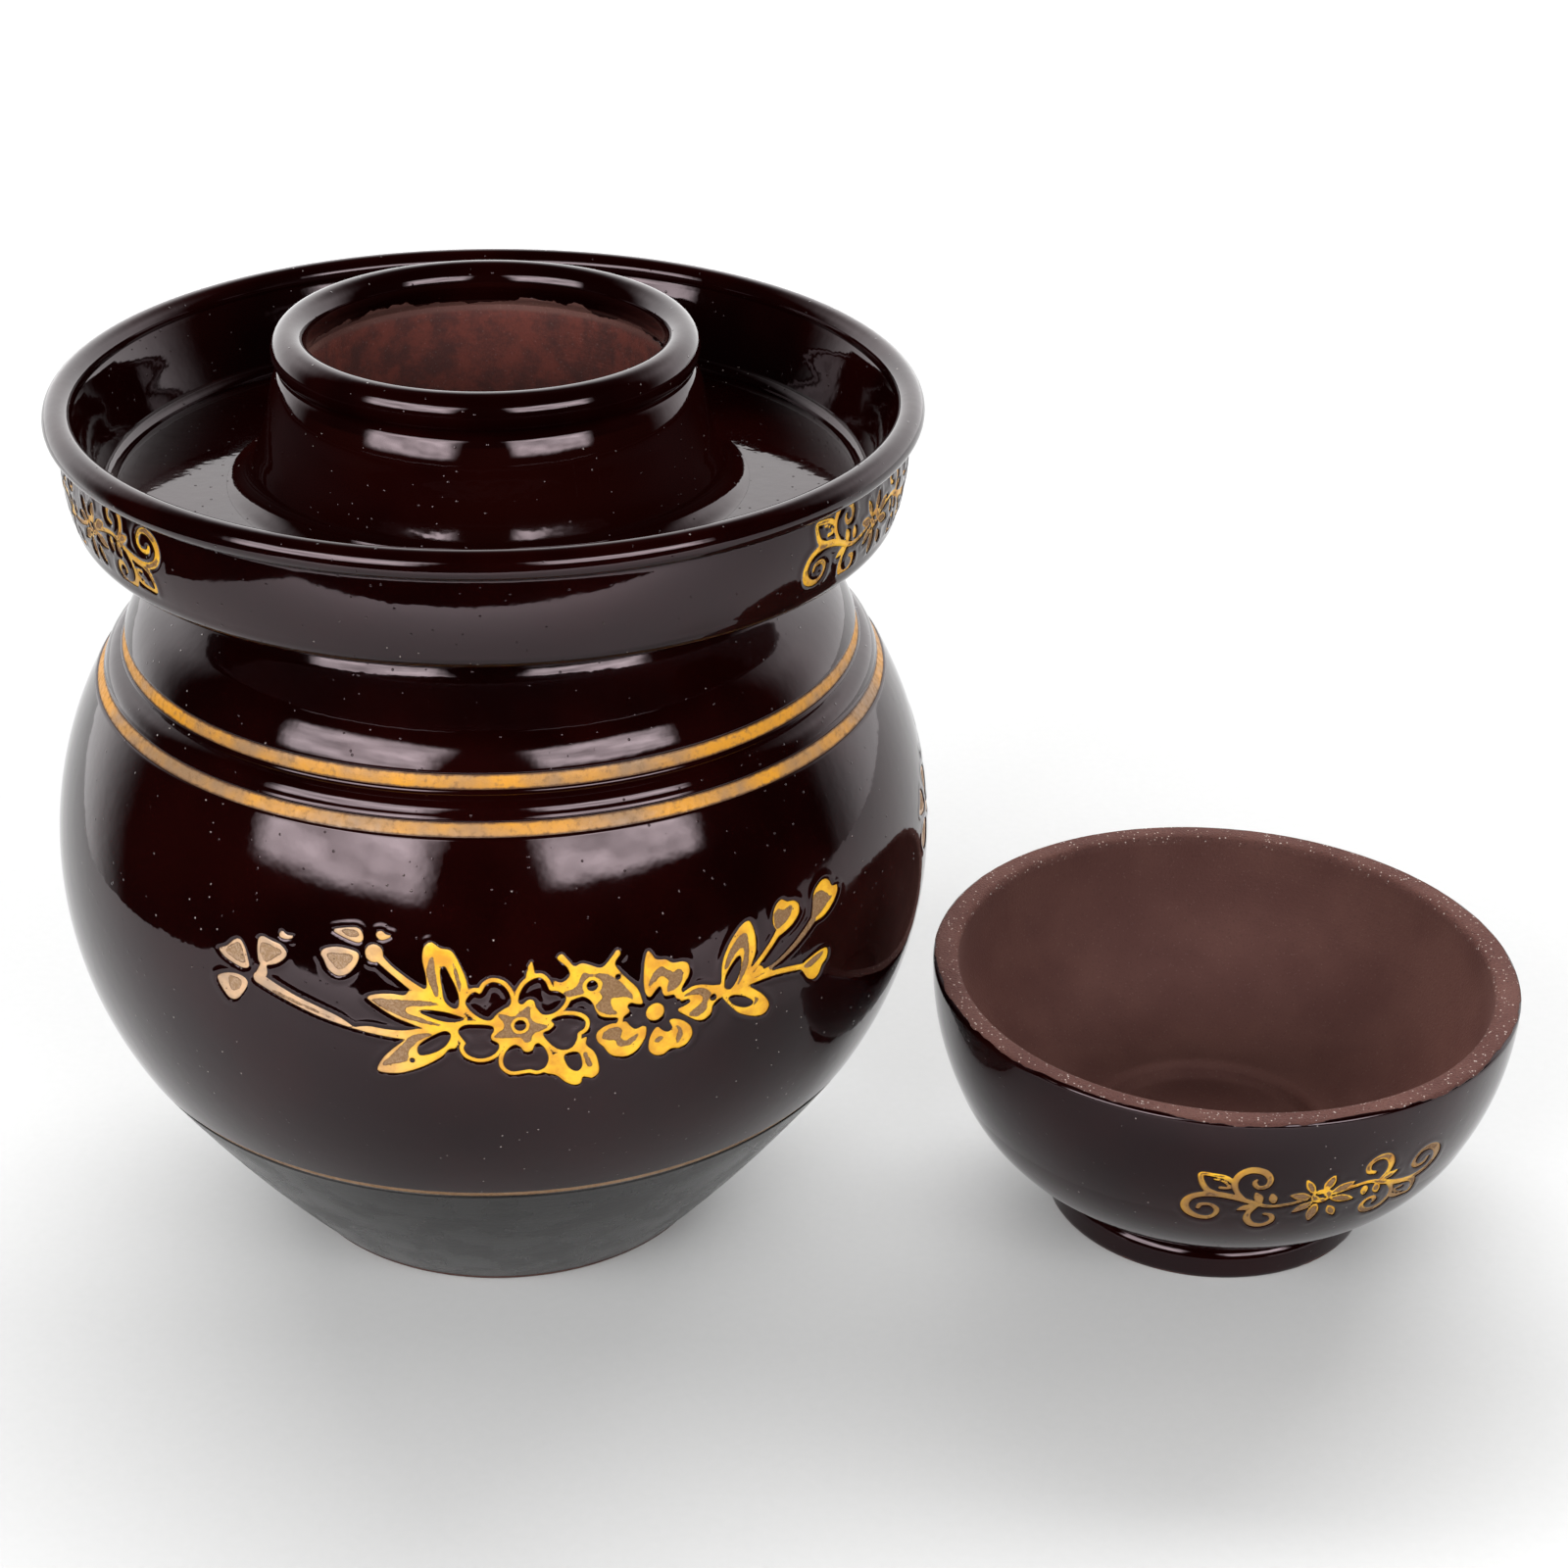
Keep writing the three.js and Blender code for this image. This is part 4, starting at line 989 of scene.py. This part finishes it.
def base_cone():
    edge = groove_edge(FOOT_LINE, FOOT_TILT, FOOT_BAND_WIDTH, -1)
    cone = arc((FOOT_RADIUS, 1.4), edge[0], 1.1, 40)
    foot = [(0, 0), (30, 0), (50.4, 0), (51.4, 0.25), (52.1, 0.8)]
    inner = arc(edge[-1], (46, FLOOR + 2.5), -1.1, 16)
    profile = foot + cone + edge[1:-1] + inner + [(44.6, FLOOR + 0.9), (42.5, FLOOR), (0, FLOOR)]

    def bareness(r, z):
        if z < 1.0:
            return 1.0
        return max(0.0, 0.75 - 0.55 * (z - 1.0)) if z < 2.6 and r > 40 else 0.0

    return turned("foot_cone", profile, bare=[bareness(r, z) for r, z in profile])


def belly():
    foot = groove_edge(FOOT_LINE, FOOT_TILT, FOOT_BAND_WIDTH, 1)
    top = groove_edge(LOWER_BAND, LOWER_TILT, SHOULDER_BAND_WIDTH, -1)
    outer = arc(foot[0], top[0], 11.5, 240)
    inner = arc(top[-1], foot[-1], -10.4, 30)
    rest = top[1:-1] + inner + foot[1:-1][::-1]
    stamps = []
    for side, azimuth in SPRAY_AZIMUTHS.items():
        names = [f"spray_{side}_{part}_slip" for part in NAMES_IN_SPRAY]
        place = (azimuth, SPRAY_WALL_RADIUS, SPRAY_LIFT, 1.0)
        stamps.append(Stamp(names, spray_art, *place, SPRAY_REACH))
    return decorated("belly_wall", outer, rest, stamps, 0.13)


def bead():
    low = groove_edge(LOWER_BAND, LOWER_TILT, SHOULDER_BAND_WIDTH, 1)
    high = groove_edge(UPPER_BAND, UPPER_TILT, SHOULDER_BAND_WIDTH, -1)
    profile = arc(low[0], high[0], 0.8, 16) + high[1:] + [low[-1]] + low[1:-1][::-1]
    return turned("bead_ring", profile)


def shoulder():
    low = groove_edge(UPPER_BAND, UPPER_TILT, SHOULDER_BAND_WIDTH, 1)
    haunch = arc(low[0], HAUNCH_TOP, 0.68, 30)
    slope = bend([HAUNCH_TOP, (75.8, 166.9), (73.3, 169.3), (72.1, 171.0), (71.2, 173.0),
                  (70.5, 176.0)], 7)
    deck = [(70.2, 180.0), (69.8, DECK_HEIGHT), (THROAT_RADIUS, DECK_HEIGHT)]
    inner = [(THROAT_RADIUS, 176.5)] + arc((60, 175.5), low[-1], -0.8, 16)
    profile = haunch + slope[1:] + deck + inner + low[1:-1][::-1]
    bare = [1.0 if r < 69 and z > 160 else 0.0 for r, z in profile]
    return turned("shoulder_wall", profile, bare=bare)


def neck():
    bottom = DECK_HEIGHT + JOINT
    fillet = arc((NECK_FOOT_RADIUS, MOAT_FLOOR_HEIGHT + 0.02), NECK_FOOT, -1.55, 18)
    wall = bend([NECK_FOOT, (52.2, 198.0), (50.9, 202.5), (49.8, 207.0), (48.9, 211.5),
                 (47.7, 215.0), (46.9, 216.3)], 8)
    lip = oval((44.15, 220.6), 4.15, 4.7, -46, 214, 44)
    throat = [(41.0, 217.2), (41.4, 216.4), (42.3, 215.8), (42.6, 215.0), (42.2, 214.2)]
    throat += [(THROAT_RADIUS, z) for z in (213.5, 211.5, 208, 202, 196, 190, bottom)]
    profile = [(NECK_FOOT_RADIUS, bottom)] + fillet + wall[1:-1] + lip + throat

    def bareness(r, z):
        fade = (GLAZED_ABOVE - z) / (GLAZED_ABOVE - BARE_BELOW)
        return min(1.0, max(0.0, fade)) if r < 43.5 else 0.0

    bare = [bareness(r, z) for r, z in profile]
    ruddy = [1.0 if z < 214 else 0.0 for r, z in profile]
    return turned("neck_collar_glazed", profile, bare=bare, ruddy=ruddy)


def frieze_stamps(stem, azimuths, radius, lift, scale, half_height):
    reach = (-40, 40, -half_height, half_height)
    return [Stamp([f"{stem}_{side}_slip"], scroll_art, azimuth, radius, lift, scale, reach)
            for side, azimuth in azimuths.items()]


def moat():
    underside = DECK_HEIGHT + JOINT
    neck_joint = NECK_FOOT_RADIUS + 0.03
    outer = arc((94.5, 187.6), MOAT_WALL_TOP, 0.6, 60)[:-1] + [(96.2, 204.7)]
    lip = oval((96.0, 207.9), 3.3, 3.3, -60, 195, 44)
    inner = bend([(92.4, 206.3), (91.2, 203.2), (89.4, 198.0), (87.8, 194.0), MOAT_INNER_FOOT], 8)
    fillet = arc(MOAT_INNER_FOOT, (84.3, MOAT_FLOOR_HEIGHT + 0.03), 0.75, 14)
    floor = [(79, MOAT_FLOOR_HEIGHT + 0.01)]
    floor += [(r, MOAT_FLOOR_HEIGHT) for r in (72, 66, neck_joint)]
    bottom = [(neck_joint, underside), (87, underside)]
    bottom += arc((88.6, 182.2), (94.3, 186.9), 1.5, 12)
    rest = lip + inner[:-1] + fillet + floor + bottom
    stamps = frieze_stamps("moat_frieze", MOAT_FRIEZE_AZIMUTHS, 96.6, 8.5, 0.80, 12)
    return decorated("water_moat", outer, rest, stamps, 0.16, coarse=0.8)


def slip_ring(name, centre, tilt, width):
    """A band of slip that lies in its groove, below the glaze and a little proud in its middle."""
    half, steps, underside = width / 2 + 0.10, 12, -1.2
    places = [(-half, underside)]
    for k in range(steps + 1):
        t = k / steps
        places.append((-half + 2 * half * t, -0.34 + 0.10 * math.cos(math.pi * (2 * t - 1) / 2)))
    places.append((half, underside))
    profile = [on_wall(centre, tilt, along, out) for along, out in places]
    across = [1.0] + [abs(2 * k / steps - 1) for k in range(steps + 1)] + [1.0]
    angles = columns([(0.0, 6.28)], BAND_STEP)
    return turned(name, profile, across=across, angles=angles)


# ---- the lid ----
def lid_bowl():
    joint = [(37.1, 9.95), (38.2, 10.1), (39.6, 10.7)]
    rim_foot = (LID_RIM_OUTER, 64.6)
    outer = joint[:-1] + arc(joint[-1], LID_WAIST, 3.9, 90) + arc(LID_WAIST, rim_foot, 1.5, 90)[1:]
    rim = [(LID_RIM_OUTER - inward, LID_HEIGHT - down)
           for inward, down in ((0.02, 0.8), (0.25, 0.3), (0.8, 0), (2.0, 0), (3.4, 0))]
    rim += [(LID_RIM_INNER + outward, LID_HEIGHT - down)
            for outward, down in ((1.7, 0.1), (0.8, 0.45), (0.25, 1.1), (0, 2.2))]
    wall = arc(rim[-1], LID_INNER_WAIST, -1.5, 24)
    wall += arc(LID_INNER_WAIST, LID_WELL_EDGE, -4.6, 30)[1:]
    well = bend([LID_WELL_EDGE, (30.0, 18.5), (29.0, 17.4), (28.3, 15.8), (27.0, 14.7),
                 (22.0, LID_WELL_HEIGHT)], 5)
    rest = rim + wall + well[1:] + [(12, LID_WELL_HEIGHT), (0, LID_WELL_HEIGHT)]
    rest += [(0, LID_UNDERSIDE), (34, LID_UNDERSIDE), (36.6, 9.93)]
    bare = [0.30, 0.42, 0.62] + [1.0] * (len(rest) - 4) + [0.0]
    gritty = [1.0 if z > LID_HEIGHT - 1.5 else 0.0 for r, z in rest]
    stamps = frieze_stamps("lid_frieze", LID_FRIEZE_AZIMUTHS, 69.4, 47.0, 0.93, 14)
    masks = {"bare": bare, "rough": gritty}
    return decorated("lid_bowl_glazed", outer, rest, stamps, 0.08, LID_X, **masks)


def lid_foot():
    outer = [(38.9, 0.0), (39.5, 0.25), (39.9, 0.8), (40.0, 1.6), (40.0, 3.4), (40.05, 5.0)]
    top = bend([(40.0, 5.8), (39.6, 6.8), (38.8, 7.8), (37.9, 8.7), (37.0, 9.6)], 5)
    profile = [(32.1, 0), (33, 0)] + outer + top + [(33.5, 9.7)]
    bare = [1.0, 1.0, 0.8, 0.6, 0.45] + [0.0] * (len(profile) - 6) + [1.0]
    return turned("lid_foot_glazed", profile, centre_x=LID_X, bare=bare)


def dress(piece, material, body, slot, *nodes):
    piece.data.materials.append(material)
    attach(piece, body)
    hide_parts(*nodes)


def build_object():
    glaze = glaze_material()
    ochre = slip_material("ochre_slip", 1.0, 0.12)
    moat_slip = slip_material("frieze_slip", 0.0, 0.45)
    lid_slip = slip_material("lid_slip", 0.0, 0.85)
    band = band_material("band_slip", GOLD_DEEP, TAN_GREY)
    foot_line = band_material("foot_line_slip", TAN_GREY, TAN)

    dress(base_cone(), satin_material(), "crock", "satin_glaze", "base_section")
    wall, sprays = belly()
    dress(wall, glaze, "crock", "dark_glaze", "belly_section")
    for name, piece in sprays.items():
        node = name.removesuffix("_slip")
        slot = "ochre_slip" if node.endswith("main") else "pale_slip"
        dress(piece, ochre, "crock", slot, node)
    dress(bead(), glaze, "crock", "dark_glaze", "shoulder_bead")
    dress(shoulder(), glaze, "crock", "dark_glaze", "shoulder_section")
    dress(neck(), glaze, "crock", "dark_glaze", "neck_collar")
    wall, friezes = moat()
    dress(wall, glaze, "crock", "dark_glaze", "moat_floor_pan", "moat_wall")
    for name, piece in friezes.items():
        dress(piece, moat_slip, "crock", "ochre_slip", name.removesuffix("_slip"))
    ring_piece = slip_ring("foot_line_ring", FOOT_LINE, FOOT_TILT, FOOT_BAND_WIDTH)
    dress(ring_piece, foot_line, "crock", "ochre_slip", "foot_band")
    bands = {"lower": (LOWER_BAND, LOWER_TILT), "upper": (UPPER_BAND, UPPER_TILT)}
    for side, (centre, tilt) in bands.items():
        ring_piece = slip_ring(f"{side}_band_ring", centre, tilt, SHOULDER_BAND_WIDTH)
        dress(ring_piece, band, "crock", "ochre_slip", f"shoulder_band_{side}")

    wall, friezes = lid_bowl()
    dress(wall, glaze, "lid", "dark_glaze", "lid_bowl")
    for name, piece in friezes.items():
        dress(piece, lid_slip, "lid", "tan_slip", name.removesuffix("_slip"))
    dress(lid_foot(), glaze, "lid", "dark_glaze", "lid_foot_ring")


# ---- the studio ----
def stage_floor():
    mesh = bpy.data.meshes.new("studio_floor")
    outline = [(-0.38, -0.44), (0.8, -0.44), (1.4, 1.6), (-1.4, 1.6), (-0.38, 0.1)]
    corners = [(x, y, FLOOR_LEVEL) for x, y in outline]
    mesh.from_pydata(corners, [], [tuple(range(len(corners)))])
    floor = link("studio_floor", mesh)
    s = Shader("floor_paper")
    grain = s.noise(400)
    s.finish(s.mix(grain, PAPER_DARK, PAPER_PALE), 0.9, s.bump(grain, 0.00002, 0.2))
    floor.data.materials.append(s.material)


def world():
    """Bright paper behind and a dim room in front, for light and reflections.

    Diffuse light from it is held back, and a camera that looks past the floor sees plain grey."""
    data = bpy.data.worlds.new("studio")
    bpy.context.scene.world = data
    g = Graph(data)
    g.nodes.clear()
    g.coordinates = g.put("ShaderNodeTexCoord").outputs["Generated"]
    direction = g.put("ShaderNodeSeparateXYZ", {0: g.coordinates}).outputs
    path = g.put("ShaderNodeLightPath").outputs
    behind = g.span(direction["Y"], 0.15, 0.60, 0.012, 2.6)
    not_above = g.span(direction["Z"], 0.42, 0.80, 1.0, 0.02)
    held_back = g.span(path["Is Diffuse Ray"], 0.0, 1.0, 1.0, 0.2)
    level = g.times(g.times(behind, not_above), held_back)
    room = g.put("ShaderNodeBackground", {"Strength": level}).outputs[0]
    plain = g.put("ShaderNodeBackground", {"Strength": 1.0}).outputs[0]
    mix = g.put("ShaderNodeMixShader", {"Fac": path["Is Camera Ray"], 1: room, 2: plain})
    g.put("ShaderNodeOutputWorld", {"Surface": mix.outputs[0]})


def soften(data):
    """Lets a light fade towards its edges and cloud over, like a window behind a curtain."""
    g = Graph(data)
    g.coordinates = g.put("ShaderNodeNewGeometry").outputs["Parametric"]
    place = g.put("ShaderNodeSeparateXYZ", {0: g.coordinates}).outputs
    inward = [g.math("PINGPONG", place[axis], 0.5) for axis in ("X", "Y")]
    fade = g.times(*[g.span(side, 0.0, 0.16, 0.05, 1.0) for side in inward])
    patchy = g.span(g.noise(3.0), 0.3, 0.7, 0.55, 1.5, "LINEAR")
    g.feed(g.nodes["Emission"].inputs["Strength"], g.times(fade, patchy))


def area_lamp(name, width, height, radiance, in_gloss):
    data = bpy.data.lights.new(name, "AREA")
    data.shape = "RECTANGLE"
    data.size, data.size_y = width, height
    data.energy = radiance * math.pi * width * height
    lamp = link(name, data)
    lamp.visible_glossy = in_gloss
    return lamp


def softbox(name, azimuths, elevations, distance, radiance, in_gloss=True):
    """A light that fills a range of azimuths and elevations in degrees, seen from the belly.

    Azimuths run from the front, -Y, towards +X."""
    heart = Vector((0.0, 0.0, 0.13))
    azimuth, elevation = (math.radians(sum(pair) / 2) for pair in (azimuths, elevations))
    width, height = (2 * distance * math.tan(math.radians(high - low) / 2)
                     for low, high in (azimuths, elevations))
    level = math.cos(elevation)
    away = Vector((math.sin(azimuth) * level, -math.cos(azimuth) * level, math.sin(elevation)))
    lamp = area_lamp(name, width, height, radiance, in_gloss)
    lamp.location = heart + away * distance
    lamp.rotation_euler = (-away).to_track_quat("-Z", "Y").to_euler()
    if in_gloss:
        soften(lamp.data)


def floor_lamp():
    """Lights only the front edge of the floor, which the moat's wall mirrors."""
    lamp = area_lamp("softbox_floor", 1.0, 0.2, 130.0, False)
    lamp.location = (0.05, -0.8, 0.42)
    lamp.rotation_euler = (math.radians(-30), 0, 0)


def camera():
    """At the photograph's viewing angle.

    In radians, yaw turns it left, pitch is how far it looks down, and roll tips it."""
    focal, sensor, frame_px = 3300.0, 36.0, 1600  # focal length in pixels, sensor in mm
    place = (0.0905045, -0.6894877, 0.4693266)
    yaw, pitch, roll = 0.031, 0.4787, 0.021
    data = bpy.data.cameras.new("camera")
    data.sensor_width = sensor
    data.lens = focal * sensor / frame_px
    eye = link("camera", data)
    level = math.cos(pitch)
    flat_right = Vector((math.cos(yaw), math.sin(yaw), 0))
    ahead = Vector((-math.sin(yaw) * level, math.cos(yaw) * level, -math.sin(pitch)))
    flat_up = flat_right.cross(ahead)
    right = math.cos(roll) * flat_right + math.sin(roll) * flat_up
    up = math.cos(roll) * flat_up - math.sin(roll) * flat_right
    basis = Matrix((right, up, -ahead)).transposed().to_4x4()
    basis.translation = Vector(place)
    eye.matrix_world = basis
    bpy.context.scene.camera = eye


def studio():
    stage_floor()
    world()
    softbox("softbox_left", (-59, -9), (9, 42), 1.35, 10.0)
    softbox("softbox_right", (18, 62), (13, 38), 1.35, 10.0)
    softbox("softbox_above", (-60, 60), (60, 120), 1.6, 0.3, in_gloss=False)
    softbox("softbox_back", (140, 220), (26, 50), 2.2, 14.0, in_gloss=False)
    softbox("softbox_fill", (2, 30), (14, 34), 1.35, 2.5, in_gloss=False)
    floor_lamp()
    bpy.context.scene.view_settings.view_transform = "Standard"
    camera()


build_object()
studio()
